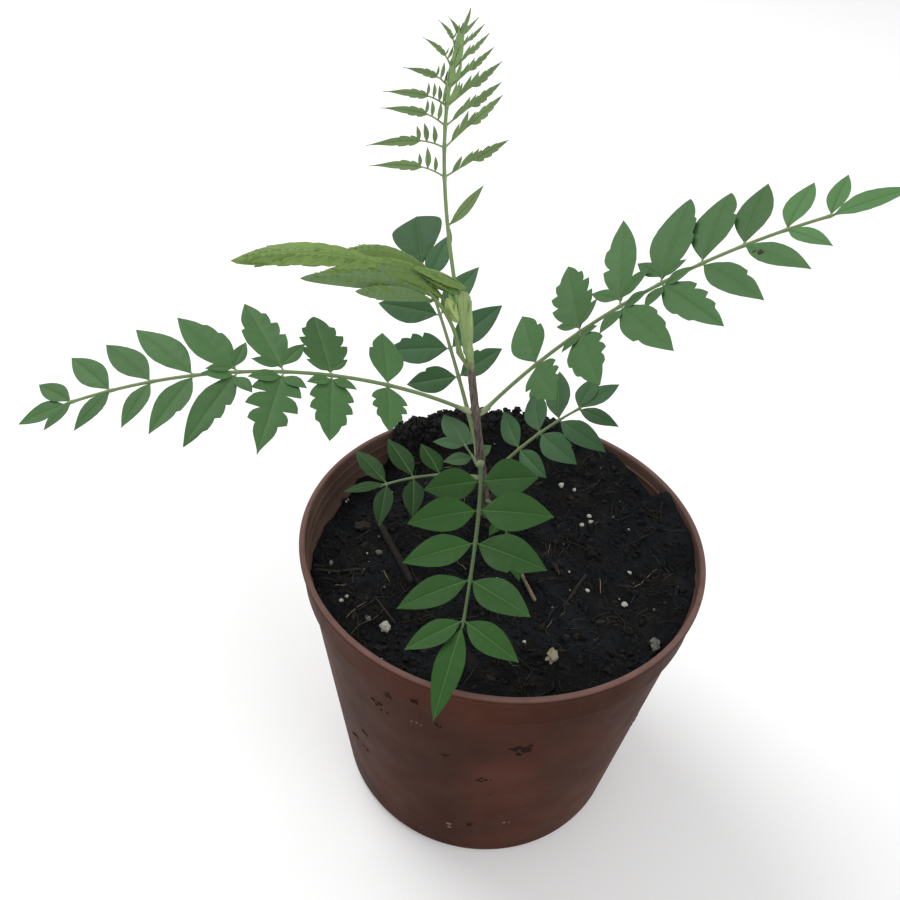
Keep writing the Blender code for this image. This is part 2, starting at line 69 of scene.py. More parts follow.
# The pot, from its solid and its profile
POT_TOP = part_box("pot")[1]
POT_HEIGHT = POT_TOP.z
RIM_RADIUS = POT_TOP.x
FOOT_RADIUS = 0.0543
WALL = 0.0016
FLOOR = 0.0018
COLLAR_HEIGHT = 0.0145
COLLAR_STEP = 0.0016
COLLAR_SHELF = 0.0025
COLLAR_DRAFT = 0.0014
COLLAR_FOOT = POT_HEIGHT - COLLAR_HEIGHT
BODY_INSET = 0.0030
RIM_LAND = 0.0018
RIM_LAND_DEPTH = 0.0012
DRAIN_HOLES = 8
DRAIN_RADIUS = 0.0045
DRAIN_CIRCLE = 0.040
LEDGE_DROPS = (0.0088, 0.0046)
FOOT_RING = ((0.0500, 0.0), (0.0494, 0.0005), (0.0300, 0.0005), (0.0294, 0.0))
PROFILE_ROUNDING = 0.0005

# The soil's heap, dip and slant
GAP = 0.0003
SOIL_DROP = 0.0115
SOIL_HEAP = 0.0150
HEAP_CENTRE = -0.006
HEAP_SPREAD = 0.044
SOIL_DIP = 0.0035
DIP_CENTRE = (-0.050, 0.040)
DIP_SPREAD = 0.030
SOIL_SLANT = 0.0025
STEM_FLAT_RADIUS = 0.0055

# The stem and its growing tip
STEM_FOOT = Vector((-0.0050, 0.0209))
STEM_LENGTH = 0.0925
STEM_LEAN = 0.160
STEM_RADIUS_LOW = 0.00185
STEM_RADIUS_HIGH = 0.00150
ROOT_FLARE = 0.0009
FLARE_HEIGHT = 0.003
STRAIGHT_FOOT = 0.0015
NODE_SWELLING = 0.00035
NODE_LENGTH = 0.0013
NODE_HEIGHTS = (0.0175, 0.0264, 0.0473, 0.0712)
TIP_SWELLING = 0.0006
TIP_SWELLING_START = 0.0735
TIP_SWELLING_LENGTH = 0.0080
TIP_DOME = 0.0022
BUD_HEIGHT = 0.0828
BUD_HEADING = 188.0
BUD_PITCH = 62.0
BUD_LENGTH = 0.0090
BUD_RADIUS = 0.0016
BUD_FULLNESS = 1.40

# What the leaves share
MIDRIB_STEP = 0.0055
LEAFLET_SLIMNESS = 0.47
LEAFLET_STALK = 0.05
LEAFLET_CURL = 0.10
LEAFLET_CUP = 0.16
WIDEST_POINT = 0.42
ODD_SLIMNESS = 0.21
END_SLIMNESS_SHARE = 0.90
END_LEAFLET_SEAT = 0.0012
SIDE_LEAFLET_SHARE = 0.30
SIDE_LEAFLET_SEAT = 0.07
SIDE_LEAFLET_SPLAY = 62.0
SMALL_LEAFLET = 0.012
STALK_RADIUS = 0.00034
SMALL_STALK_RADIUS = 0.00024
LONG_LEAF = 0.09
LONG_LEAF_RADIUS = 0.00062
RIB_FOOT_LENGTH = 0.0026
SEAT_SWELLING = 0.00014
SEAT_SWELLING_LENGTH = 0.0011

# Materials of a leaf's blades, and those of the bud's folds in the same places
GREEN, LIGHT, DEEP, UNDERSIDE, RIB, TIP, NEWEST, DRIED = range(8)
BUD_FOLD, SHOOT_FOLD = LIGHT, DEEP

# Teeth as (place along the blade, depth as a share of the half width)
SOFT_TEETH = ((0.46, 0.13), (0.67, 0.12))
ONE_TOOTH = ((0.55, 0.20),)
COARSE_TEETH = ((0.36, 0.30), (0.55, 0.30), (0.73, 0.22))
LOW_LOBE = ((0.34, 0.42), (0.62, 0.16))
DEEP_LOBES = ((0.22, 0.66), (0.42, 0.62), (0.62, 0.36))


@dataclass(frozen=True)
class Form:
    """How one leaflet differs from the even rule, from its likeness in the photograph.

    The teeth are those of the edge towards the leaf's tip and of the other edge.
    A spot is a dried brown mark, placed along and across the blade.
    """

    stretch: float = 1.0
    turn: float = 0.0
    slimness: float = 0.0
    tip_teeth: tuple = ()
    foot_teeth: tuple = ()
    roll: float = 0.0
    widest: float = WIDEST_POINT
    taper: float = 0.95
    spot: tuple = ()


@dataclass(frozen=True)
class Leaf:
    """One compound leaf.

    Rise, span, splay, sizes and thickness run from the stem to the leaf's tip. Slimness is
    that of the left and the right leaflets; the end form is a stretch and a slimness.
    """

    name: str
    height: float
    heading: float
    rise: tuple
    reach: float
    pairs: int
    span: tuple
    splay: tuple
    sizes: tuple
    end_size: float
    sweep: float = 0.0
    twist: float = 0.0
    lift: float = 4.0
    crowding: float = 1.0
    thickness: tuple = (0.0010, 0.0005)
    slimness: tuple = (LEAFLET_SLIMNESS, LEAFLET_SLIMNESS)
    last_size: float = 0.0
    end_lift: float = 0.0
    end_turn: float = 0.0
    end_widest: float = WIDEST_POINT
    fresh_from: int = 99
    side_pairs: tuple = (0, 0)
    odd_leaflets: tuple = ()
    left_forms: tuple = ()
    right_forms: tuple = ()
    end_form: tuple = ()
    kind: str = "plain"


LEAVES = (
    Leaf("leaf_left", 0.0473, 192.2, (30.3, -17.0), 0.1314, 8, (0.23, 0.98), (82, 42),
         (0.0225, 0.0288, 0.0083), 0.0164, sweep=3.6, twist=12.8, lift=4.8, crowding=0.85,
         slimness=(0.38, 0.46), side_pairs=(1, 4), last_size=0.0105, end_form=(1.0, 0.44),
         left_forms=(Form(0.88, -8, 0.62, COARSE_TEETH, COARSE_TEETH),
             Form(1.02, -11, 0.54, COARSE_TEETH, COARSE_TEETH),
             Form(1.22, -2, 0.46, DEEP_LOBES, DEEP_LOBES, widest=0.30, taper=1.25),
             Form(1.13, 5, 0.33, (), COARSE_TEETH), Form(0.92, -1, 0.35, (), ONE_TOOTH),
             Form(0.75, -5, 0.38), Form(0.98, 0, 0.40), Form(1.14, 4, 0.40)),
         right_forms=(Form(1.20, -8, 0.46, ONE_TOOTH, ONE_TOOTH),
             Form(0.98, -6, 0.61, COARSE_TEETH, COARSE_TEETH, taper=0.80),
             Form(1.19, -3, 0.37, ONE_TOOTH, COARSE_TEETH), Form(1.01, 10, 0.40, (), SOFT_TEETH),
             Form(1.10, 0, 0.36), Form(1.04, -4, 0.39), Form(1.30, -7, 0.40), Form(1.62, -6, 0.40))),
    Leaf("leaf_right", 0.0473, 5, (54, 25), 0.124, 8, (0.20, 0.99), (85, 51),
         (0.0255, 0.0343, 0.0100), 0.0200, sweep=-10.5, twist=-7.2, lift=8.8, crowding=0.86,
         slimness=(0.45, 0.36), side_pairs=(1, 4), last_size=0.0145, end_lift=9, fresh_from=6,
         end_form=(1.1, 0.42),
         left_forms=(Form(0.93, 2, 0.60, ONE_TOOTH),
             Form(1.00, -8, 0.50, COARSE_TEETH, COARSE_TEETH), Form(1.10, -3, 0.32, (), LOW_LOBE),
             Form(0.95, 9, 0.42, SOFT_TEETH, taper=0.80),
             Form(0.88, 3, 0.48, ONE_TOOTH, taper=0.80), Form(0.95, -3, 0.42),
             Form(1.10, -3, 0.37), Form(1.27, -14, 0.34)),
         right_forms=(Form(0.86, 6, 0.66, COARSE_TEETH, COARSE_TEETH),
             Form(0.91, -8, 0.50, COARSE_TEETH, SOFT_TEETH),
             Form(1.07, 0, 0.30, SOFT_TEETH, ONE_TOOTH),
             Form(0.90, 5, 0.35, COARSE_TEETH, SOFT_TEETH), Form(0.96, 0, 0.30, ONE_TOOTH),
             Form(0.91, 7, 0.33, spot=(0.30, -0.05)), Form(0.79, 3, 0.36), Form(0.0))),
    Leaf("leaf_front", 0.0264, 270.5, (19, -20), 0.0761, 5, (0.20, 0.97), (81, 55),
         (0.0192, 0.0236, 0.0189), 0.0269, sweep=-7.4, twist=-10.6, lift=7.3, crowding=0.90,
         end_form=(1.05, 0.31), end_turn=9,
         left_forms=(Form(1.05, 0, 0.76, roll=34), Form(1.06, 0, 0.60, roll=18),
             Form(1.06, 0, 0.52, ONE_TOOTH, roll=8), Form(1.07, 2, 0.47), Form(1.06, -6, 0.42)),
         right_forms=(Form(1.05, 0, 0.66, roll=-32), Form(1.03, 0, 0.58, roll=-16),
             Form(1.03, 0, 0.51, roll=-8), Form(1.02, 0, 0.44), Form(0.96, 0, 0.42))),
    Leaf("leaf_back", 0.0264, 109, (32.7, 22.8), 0.0825, 4, (0.37, 0.89), (74.8, 43.3),
         (0.0192, 0.0267, 0.0218), 0.0242, sweep=3.5, twist=27.7, lift=7, crowding=1.16,
         end_form=(1.05, 0.82), end_turn=9, end_widest=0.70,
         left_forms=(Form(1.0, 0, 0.52, ONE_TOOTH), Form(1.04, 0, 0.50, COARSE_TEETH),
             Form(1.02, 0, 0.46)),
         right_forms=(Form(1.0, 0, 0.52, ONE_TOOTH), Form(1.0, 0, 0.50), Form(0.88, 0, 0.44))),
    Leaf("leaf_lower_left", 0.0180, 197.9, (22, -13.6), 0.0351, 3, (0.40, 0.95), (76, 72),
         (0.0164, 0.0198, 0.0206), 0.0141, twist=3, lift=6.6, thickness=(0.0008, 0.00045),
         end_form=(1.1, 0.31), end_turn=17,
         left_forms=(Form(0.95, 0, 0.42), Form(1.0, 0, 0.38), Form(0.98, 0, 0.33)),
         right_forms=(Form(1.0, 0, 0.48), Form(1.02, 0, 0.38), Form(1.02, 0, 0.32))),
    Leaf("leaf_lower_right", 0.0175, 21.4, (50.5, 25.8), 0.0416, 4, (0.35, 0.96), (84, 60),
         (0.0179, 0.0224, 0.0169), 0.0163, sweep=-2.6, twist=-3.3, lift=4, crowding=0.92,
         slimness=(0.42, 0.42), thickness=(0.0008, 0.00045), end_form=(1.05, 0.50), end_turn=-10,
         left_forms=(Form(), Form(1.0, 0, 0.44), Form(), Form(1.0, 20, 0.46)),
         right_forms=(Form(), Form(1.02, 3, 0.44, SOFT_TEETH), Form(1.11, -5, 0.38),
             Form(1.0, 0, 0.34))),
    Leaf("leaf_small_back", 0.0215, 128, (28, 14), 0.0100, 2, (0.35, 0.90), (75, 60),
         (0.0095, 0.0095, 0.0095), 0.0120, sweep=-3, thickness=(0.0006, 0.0004),
         slimness=(0.46, 0.50), end_form=(1.46, 0.57), end_turn=4,
         left_forms=(Form(1.25), Form(1.20))),
    Leaf("leaf_small_front", 0.0085, 293, (27, -11), 0.0205, 2, (0.34, 0.73), (70, 48),
         (0.0090, 0.0090, 0.0085), 0.0200, sweep=-8, thickness=(0.0006, 0.0004)),
    Leaf("leaf_tall", 0.0712, 114.6, (54.3, 105.2), 0.0959, 8, (0.56, 0.99), (75, 56),
         (0.0262, 0.0214, 0.0056), 0.0080, sweep=28.5, twist=1.7, crowding=0.79,
         slimness=(0.38, 0.38), odd_leaflets=((0.40, 58, 0.0185), (0.325, 5, 0.0085)),
         end_form=(1.12, 0.24), end_lift=14, kind="comb",
         left_forms=(Form(), Form(1.02, -11), Form(), Form(1.0, -9), Form(), Form(0.97, 14),
             Form(1.10, 20), Form(1.4, 8)),
         right_forms=(Form(0.96), Form(1.0, 10), Form(0.97, 2), Form(0.97), Form(), Form(),
             Form(1.15), Form(1.4))),
    Leaf("leaf_young", 0.0712, 204.6, (80.3, -24.3), 0.0835, 6, (0.34, 0.95), (35, 8),
         (0.0180, 0.0279, 0.0090), 0.0060, sweep=-26, twist=26, lift=-56, crowding=1.23,
         slimness=(0.31, 0.31), thickness=(0.0013, 0.0005), kind="folded"),
)
LEAF_NAMED = {leaf.name: leaf for leaf in LEAVES}

# Folds of the young leaf: start and stop along the rib, distances to its side at the
# foot, the middle and the tip, lift, width, roll in degrees and tint
YOUNG_FOLDS = (
    (0.30, 0.68, (0.0078, 0.0056, -0.0006), 0.0004, 0.0078, -14, GREEN),
    (0.30, 0.81, (0.0002, -0.0070, -0.0104), -0.0004, 0.0064, 26, UNDERSIDE),
    (0.27, 0.61, (-0.0008, -0.0078, -0.0128), -0.0006, 0.0056, 34, UNDERSIDE),
    (0.25, 0.74, (0.0012, -0.0036, -0.0084), 0.0002, 0.0070, 20, GREEN),
    (0.27, 0.70, (0.0060, 0.0014, -0.0068), 0.0010, 0.0074, -6, LIGHT),
    (0.23, 0.60, (0.0016, 0.0004, -0.0036), 0.0016, 0.0070, 8, GREEN),
    (0.47, 1.075, (-0.0010, -0.0020, 0.0012), 0.0012, 0.0098, 0, LIGHT),
)

# Folds at the foot of the young leaf that fall back past the shoot: place along the
# rib, lift, heading and pitch in degrees, length, slimness and tint
BACK_FOLDS = (
    (0.40, 0.0034, 20.0, -14.0, 0.0200, 0.32, LIGHT),
    (0.36, 0.0030, 24.0, -18.0, 0.0172, 0.34, LIGHT),
    (0.32, 0.0026, 30.0, -14.0, 0.0100, 0.44, GREEN),
)
FEATHER_PITCH = 0.0023
FEATHER_SLOPE = 0.42


@dataclass(frozen=True)
class CombHabit:
    """How the combs on one side of the tall leaf grow.

    The side leaflets are (share along the comb, size); spread is their angle in degrees.
    """

    curl: float
    arch: float
    end_from: float
    side_leaflets: tuple
    spread: tuple
    end_slimness: float
    end_teeth: tuple
    end_taper: float
    end_bend: float


DROOPING = CombHabit(0.15, 0.10, 0.36, ((0.16, 0.19), (0.28, 0.22), (0.39, 0.16)), (62.0, 78.0),
                     0.185, ((0.20, 0.30), (0.42, 0.22)), 1.5, 0.16)
UPRIGHT = CombHabit(0.04, 0.015, 0.42, ((0.11, 0.24), (0.23, 0.28), (0.35, 0.25)), (24.0, 38.0),
                    0.26, ((0.22, 0.34), (0.44, 0.30), (0.64, 0.18)), 1.15, 0.03)
SHORT_COMB = 0.010
SHORT_COMB_LEAFLETS = ((0.12, 0.42),)
SHORT_COMB_END = 0.10


def length_property(name, description, default):
    """Return a property that holds a length."""
    return bpy.props.FloatProperty(name=name, description=description, default=default,
                                   min=0.0, unit='LENGTH', precision=5)


def share_property(name, description, default):
    """Return a property that holds a share from 0 to 1."""
    return bpy.props.FloatProperty(name=name, description=description, default=default,
                                   min=0.0, max=1.0, subtype='FACTOR')


def colour_property(name, thing, default):
    """Return a property that holds the colour of a thing."""
    return bpy.props.FloatVectorProperty(name=name, description="Colour of " + thing,
                                         default=default, size=3, min=0.0, max=1.0,
                                         subtype='COLOR')


def count_property(name, description, default):
    """Return a property that holds a number of things."""
    return bpy.props.IntProperty(name=name, description=description, default=default, min=0)


class PotLook(bpy.types.PropertyGroup):
    """Sizes and colours of the pot's look."""

    steps: bpy.props.IntProperty(
        name="Steps", description="Steps of the turned wall", default=160, min=24)
    ledge: length_property("Ledge", "How far the two ledges inside the collar stand out", 0.0005)
    plastic: colour_property("Plastic", "the plastic", (0.054, 0.0168, 0.0090))
    lining: colour_property("Inner wall", "the inner wall", (0.165, 0.113, 0.092))
    # Colour of the rim's top band: partly real wear, partly a painted highlight
    worn: colour_property("Worn plastic", "the rubbed rim", (0.212, 0.124, 0.108))
    dust: colour_property("Dust", "the dried dust", (0.096, 0.056, 0.038))
    dirt: colour_property("Dirt", "the splashed soil", (0.021, 0.0115, 0.0078))
    dustiness: share_property("Dustiness", "Share of the wall that dust covers", 0.32)


class SoilLook(bpy.types.PropertyGroup):
    """Sizes, counts and colours of the soil's look."""

    lump: length_property("Lumps", "Height of the soil's larger lumps", 0.0013)
    grain: length_property("Grain", "Height of the soil's fine grain", 0.0006)
    crumbs: count_property("Crumbs", "Number of loose crumbs", 3400)
    fibres: count_property("Fibres", "Number of loose fibres", 900)
    chips: count_property("Chips", "Number of bark chips", 44)
    grains: count_property("White grains", "Number of small white grains", 34)
    peat: colour_property("Peat", "the moist peat", (0.0060, 0.0068, 0.0080))
    humus: colour_property("Humus", "the browner lumps", (0.0165, 0.0141, 0.0118))
    bark: colour_property("Bark chips", "the bark chips", (0.030, 0.023, 0.018))
    straw: colour_property("Straw", "the dry straw and fibres", (0.125, 0.095, 0.060))
    white: colour_property("White grain", "the white grains", (0.560, 0.560, 0.490))


class StemLook(bpy.types.PropertyGroup):
    """Sizes and colours of the look of the stem and the bud."""

    furrow: length_property("Furrows", "Depth of the furrows in the bark", 0.00016)
    pore: length_property("Pores", "Height of the pale pores in the bark", 0.00022)
    change: length_property("Change", "Height where brown bark turns into green", 0.0672)
    bark: colour_property("Bark", "the young bark", (0.195, 0.158, 0.137))
    # Furrow colour: painted shade in the low places of the bark's relief
    shadow_bark: colour_property("Furrow", "the furrows in the bark", (0.066, 0.043, 0.039))
    shoot: colour_property("Shoot", "the green shoot", (0.310, 0.430, 0.170))
    bud: colour_property("Bud", "the bud", (0.430, 0.550, 0.205))


class LeafLook(bpy.types.PropertyGroup):
    """Sizes and colours of the look of the leaves."""

    thickness: length_property("Thickness", "Thickness of a leaflet", 0.00030)
    rib: length_property("Rib", "Half width of a leaflet's rib", 0.00020)
    pillow: share_property("Pillows", "Height of the swells between side veins", 0.011)
    mature: colour_property("Mature", "the long side leaves", (0.066, 0.150, 0.052))
    # The low leaves' darker green is partly their own colour and partly painted shade from the
    # leaves above
    shade: colour_property("Shaded", "the low leaves", (0.026, 0.080, 0.017))
    distant: colour_property("Distant", "the leaves behind", (0.046, 0.112, 0.046))
    young: colour_property("Young", "the young leaf", (0.147, 0.232, 0.063))
    feathery: colour_property("Tall", "the upright leaf", (0.175, 0.262, 0.108))
    underside: colour_property("Underside", "the undersides", (0.120, 0.190, 0.110))
    vein: colour_property("Vein", "the ribs", (0.120, 0.210, 0.075))
    stalk: colour_property("Stalk", "the leaf stalks", (0.170, 0.250, 0.100))
    foot: colour_property("Foot", "the stalks at the stem", (0.390, 0.450, 0.260))
    tip: colour_property("Tip", "the youngest leaflet tips", (0.120, 0.120, 0.085))
    spot: colour_property("Spot", "a dried spot", (0.058, 0.040, 0.022))


class StageLook(bpy.types.PropertyGroup):
    """The floor, the light and the camera."""

    floor: colour_property("Floor", "the floor", (0.93, 0.93, 0.93))
    sky: bpy.props.FloatProperty(
        name="Sky", description="Strength of the even light", default=0.62, min=0.0)
    key: bpy.props.FloatProperty(
        name="Key light", description="Power of the large light", default=26.0, min=0.0,
        unit='POWER')
    camera: bpy.props.FloatVectorProperty(
        name="Camera", description="Place of the camera", size=3, subtype='XYZ',
        unit='LENGTH', precision=4, default=(-0.0201, -0.2269, 0.3343))
    pitch: bpy.props.FloatProperty(
        name="Pitch", description="How far down the camera looks, in degrees", default=38.8)
    roll: bpy.props.FloatProperty(
        name="Roll", description="How far the camera leans, in degrees", default=3.8)
    lens: bpy.props.FloatProperty(
        name="Lens", description="Focal length in millimetres", default=36.0, min=1.0)


# ---- shader maths ----

class Signal:
    """A shader socket that Python's arithmetic works on."""

    def __init__(self, recipe, socket):
        self.recipe = recipe
        self.socket = socket

    def combined(self, operation, first, second):
        """Return the result of a Math node on two values."""
        return self.recipe.node("ShaderNodeMath", {"operation": operation},
                                {0: first, 1: second})

    def __add__(self, other):
        return self.combined('ADD', self, other)

    __radd__ = __add__

    def __sub__(self, other):
        return self.combined('SUBTRACT', self, other)

    def __rsub__(self, other):
        return self.combined('SUBTRACT', other, self)

    def __mul__(self, other):
        return self.combined('MULTIPLY', self, other)

    __rmul__ = __mul__


class Recipe:
    """The nodes of one material, added step by step."""

    def __init__(self, name):
        self.material = bpy.data.materials.new(name)
        self.material.use_nodes = True
        self.tree = self.material.node_tree
        self.shader = self.tree.nodes["Principled BSDF"]
        self.place = self.node("ShaderNodeTexCoord", output="Object")

    def node(self, kind, settings=None, inputs=None, output=0):
        """Add a node, set it up, feed its sockets and return one output."""
        made = self.tree.nodes.new(kind)
        for name, value in (settings or {}).items():
            setattr(made, name, value)
        for name, value in (inputs or {}).items():
            self.feed(made.inputs[name], value)
        return Signal(self, made.outputs[output])

    def feed(self, socket, value):
        """Set a socket to a value, or link a signal to it."""
        if isinstance(value, Signal):
            self.tree.links.new(value.socket, socket)
        elif socket.type == 'RGBA':
            socket.default_value = (*value, 1.0)
        else:
            socket.default_value = value

    def set(self, **values):
        """Feed sockets of the shader; an underscore stands for a space."""
        for name, value in values.items():
            self.feed(self.shader.inputs[name.replace("_", " ")], value)

    def stretched(self, x, y, z):
        """Return the place on the object, stretched along each axis."""
        return self.node("ShaderNodeVectorMath", {"operation": 'MULTIPLY'},
                         {0: self.place, 1: (x, y, z)})

    def distance(self, spot):
        """Return the distance from a spot on the object."""
        return self.node("ShaderNodeVectorMath", {"operation": 'DISTANCE'},
                         {0: self.place, 1: spot}, output="Value")

    def noise(self, scale, detail=3.0, roughness=0.55, place=None):
        """Return soft noise from 0 to 1."""
        return self.node("ShaderNodeTexNoise", None,
                         {"Vector": place or self.place, "Scale": scale, "Detail": detail,
                          "Roughness": roughness})

    def cells(self, scale, place=None):
        """Return the distance to the nearest of many scattered points."""
        return self.node("ShaderNodeTexVoronoi", None,
                         {"Vector": place or self.place, "Scale": scale})

    def band(self, value, low, high):
        """Return 0 below low and 1 above high, with a soft change between."""
        return self.node("ShaderNodeMapRange", {"interpolation_type": 'SMOOTHSTEP'},
                         {"Value": value, "From Min": low, "From Max": high})

    def mixed(self, factor, first, second):
        """Return one colour mixed into another by a factor."""
        return self.node("ShaderNodeMix", {"data_type": 'RGBA'},
                         {0: factor, 6: first, 7: second}, output=2)

    def shaded(self, factor, colour, dark, light):
        """Return a darker colour mixed into a lighter one by a factor."""
        return self.mixed(factor, tinted(colour, dark), tinted(colour, light))

    def axis(self, name):
        """Return one coordinate of the place on the object."""
        return self.node("ShaderNodeSeparateXYZ", None, {0: self.place}, output=name)

    def bump(self, height, distance, strength):
        """Feed the shader's normal from a height."""
        bumped = self.node("ShaderNodeBump", None,
                           {"Height": height, "Distance": distance, "Strength": strength})
        self.set(Normal=bumped)


# ---- sums that many parts share ----

def limited(value, low=0.0):
    """Return a value kept between a low limit and 1."""
    return min(1.0, max(low, value))


def smooth_step(value, low, high):
    """Return 0 below low and 1 above high, with a soft change between."""
    share = limited((value - low) / (high - low))
    return share * share * (3.0 - 2.0 * share)


def bell(away, width, beyond=0.0, length=1.0):
    """Return a bell curve that is 1 at its middle, at a distance from it one way or two."""
    return exp(-(away / width) ** 2 - (beyond / length) ** 2)


def turns(count):
    """Return the angles of even steps round a circle."""
    return [tau * i / count for i in range(count)]


def swung(first, second, turn):
    """Return the direction that lies a turn away from the first, towards the second."""
    return first * cos(turn) + second * sin(turn)


def polar(radius, turn, height):
    """Return the point at a radius, a turn and a height on the pot's axis."""
    return Vector((radius * cos(turn), radius * sin(turn), height))


def direction(heading, pitch):
    """Return the unit vector with a compass heading and a pitch in degrees."""
    lift = radians(pitch)
    return polar(cos(lift), radians(heading), sin(lift))


def tinted(colour, factor):
    """Return a colour made lighter or darker."""
    return tuple(min(1.0, channel * factor) for channel in colour)


def blended(first, second, share):
    """Return a colour between two others."""
    return tuple(a + (b - a) * share for a, b in zip(first, second))


# ---- finishes ----

# A painted highlight: the place and colour of a reddish glossy spot of light on the pot's front
PAINTED_HIGHLIGHT_SPOT = (0.0033, -0.0626, 0.0680)
PAINTED_HIGHLIGHT_COLOUR = (0.125, 0.038, 0.026)
BLUISH_PEAT = (0.0135, 0.0168, 0.0220)
OLIVE_PEAT = (0.034, 0.031, 0.018)
PALE_SPECK = (0.070, 0.066, 0.058)
ASHY_BARK = (0.30, 0.29, 0.27)
PALE_PORE = (0.26, 0.23, 0.19)
STALK_BLUSH = (0.13, 0.10, 0.055)
GREY_FIBRE = (0.046, 0.048, 0.052)
OLIVE_FIBRE = (0.036, 0.032, 0.021)
CREAM_GRAIN = (0.36, 0.33, 0.22)


def pot_plastic(look):
    """Dull moulded plastic with a rubbed rim that also holds a painted highlight, a painted
    highlight spot on the front, dried dust and splashes of soil.
    """
    recipe = Recipe("pot_plastic")
    height = recipe.axis("Z")
    cloudy = recipe.noise(34.0, 4.0, 0.60)
    broad = recipe.noise(15.0, 2.0)
    clouds = recipe.band(cloudy * 0.4 + broad * 0.6, 0.36, 0.64)
    colour = recipe.shaded(clouds, look.plastic, 0.72, 1.25)
    # Painted highlight: a reddish spot of light on the front of the wall
    away = recipe.distance(PAINTED_HIGHLIGHT_SPOT)
    painted_highlight = 1.0 - recipe.band(away + cloudy * 0.012, 0.006, 0.022)
    colour = recipe.mixed(painted_highlight * 0.40, colour, PAINTED_HIGHLIGHT_COLOUR)
    streaky = recipe.noise(1.0, 4.0, 0.65, recipe.stretched(160.0, 160.0, 22.0))
    colour = recipe.mixed(recipe.band(streaky, 0.52, 0.80) * 0.35, colour,
                          tinted(look.plastic, 1.55))
    patchy = recipe.noise(58.0, 6.0, 0.70)
    dust = recipe.band(patchy + recipe.noise(700.0, 2.0) * 0.12, 0.66 - 0.16 * look.dustiness, 0.86)
    dust = dust * look.dustiness
    colour = recipe.mixed(dust, colour, look.dust)
    speck = 1.0 - recipe.band(recipe.cells(150.0), 0.06, 0.15)
    speck = speck * recipe.band(recipe.noise(26.0, 2.0), 0.54, 0.62)
    stain = recipe.band(recipe.noise(44.0, 5.0, 0.72), 0.63, 0.74)
    colour = recipe.mixed(speck * 0.85 + stain * 0.30, colour, look.dirt)
    away = recipe.node("ShaderNodeVectorMath", {"operation": 'LENGTH'},
                       {0: recipe.stretched(1.0, 1.0, 0.0)}, output="Value")
    slant = (RIM_RADIUS - BODY_INSET - FOOT_RADIUS) / COLLAR_FOOT
    collar = recipe.band(height, COLLAR_FOOT - 0.0004, COLLAR_FOOT)
    middle = (height * slant + (FOOT_RADIUS - 0.5 * WALL)) * (1.0 - collar)
    middle = middle + collar * (RIM_RADIUS - 0.0017)
    inside = recipe.band(middle - away, -0.0001, 0.0003)
    colour = recipe.mixed(inside * (patchy * 0.9 + 0.15), colour, look.lining)
    # The rim's top band: partly rubbed wear, partly a painted highlight where the top faces the
    # light
    rubbed = recipe.band(height, POT_HEIGHT - 0.0010, POT_HEIGHT - 0.0001)
    rubbed = rubbed * (recipe.noise(210.0, 3.0) * 0.6 + 0.5)
    colour = recipe.mixed(rubbed, colour, look.worn)
    recipe.set(Base_Color=colour, Specular_IOR_Level=0.03,
               Roughness=recipe.noise(90.0, 4.0) * 0.22 + dust * 0.25 + 0.40)
    grain = recipe.noise(1500.0, 3.0)
    drawn = recipe.noise(1.0, 3.0, 0.6, recipe.stretched(420.0, 420.0, 36.0))
    recipe.bump(grain * 0.5 + drawn * 0.5 + speck * 0.8, 0.00016, 0.55)
    return recipe.material


def moist_soil(look):
    """Black moist peat with browner lumps and a mealy grain."""
    recipe = Recipe("moist_soil")
    lumps = recipe.noise(120.0, 6.0, 0.70)
    colour = recipe.mixed(recipe.band(lumps, 0.42, 0.72), look.peat, look.humus)
    bluish = recipe.band(recipe.noise(48.0, 2.0), 0.42, 0.62)
    colour = recipe.mixed(bluish * 0.80, colour, BLUISH_PEAT)
    olive = recipe.band(recipe.noise(1.0, 4.0, 0.7, recipe.stretched(260.0, 110.0, 150.0)),
                        0.60, 0.74)
    colour = recipe.mixed(olive * 0.65, colour, OLIVE_PEAT)
    sparkle = 1.0 - recipe.band(recipe.cells(620.0), 0.10, 0.22)
    sparkle = sparkle * recipe.band(recipe.noise(170.0, 1.0), 0.58, 0.66)
    colour = recipe.mixed(sparkle * 0.5, colour, PALE_SPECK)
    recipe.set(Base_Color=colour, Roughness=0.96 - recipe.band(lumps, 0.5, 0.7) * 0.22,
               Specular_IOR_Level=0.20)
    recipe.bump(recipe.noise(900.0, 5.0, 0.75) + lumps * 0.6, 0.0010, 1.0)
    return recipe.material


def litter_finish(name, colour, contrast=0.5, scale=420.0, roughness=0.85, gloss=0.25):
    """A rough dry finish for the bits that lie on the soil."""
    recipe = Recipe(name)
    grainy = recipe.noise(scale, 5.0, 0.7)
    recipe.set(Base_Color=recipe.shaded(grainy, colour, 1.0 - contrast, 1.0 + contrast),
               Roughness=recipe.noise(scale * 0.5) * 0.25 + (roughness - 0.15),
               Specular_IOR_Level=gloss)
    recipe.bump(recipe.noise(scale * 3.0, 4.0, 0.7), 0.0003, 0.8)
    return recipe.material


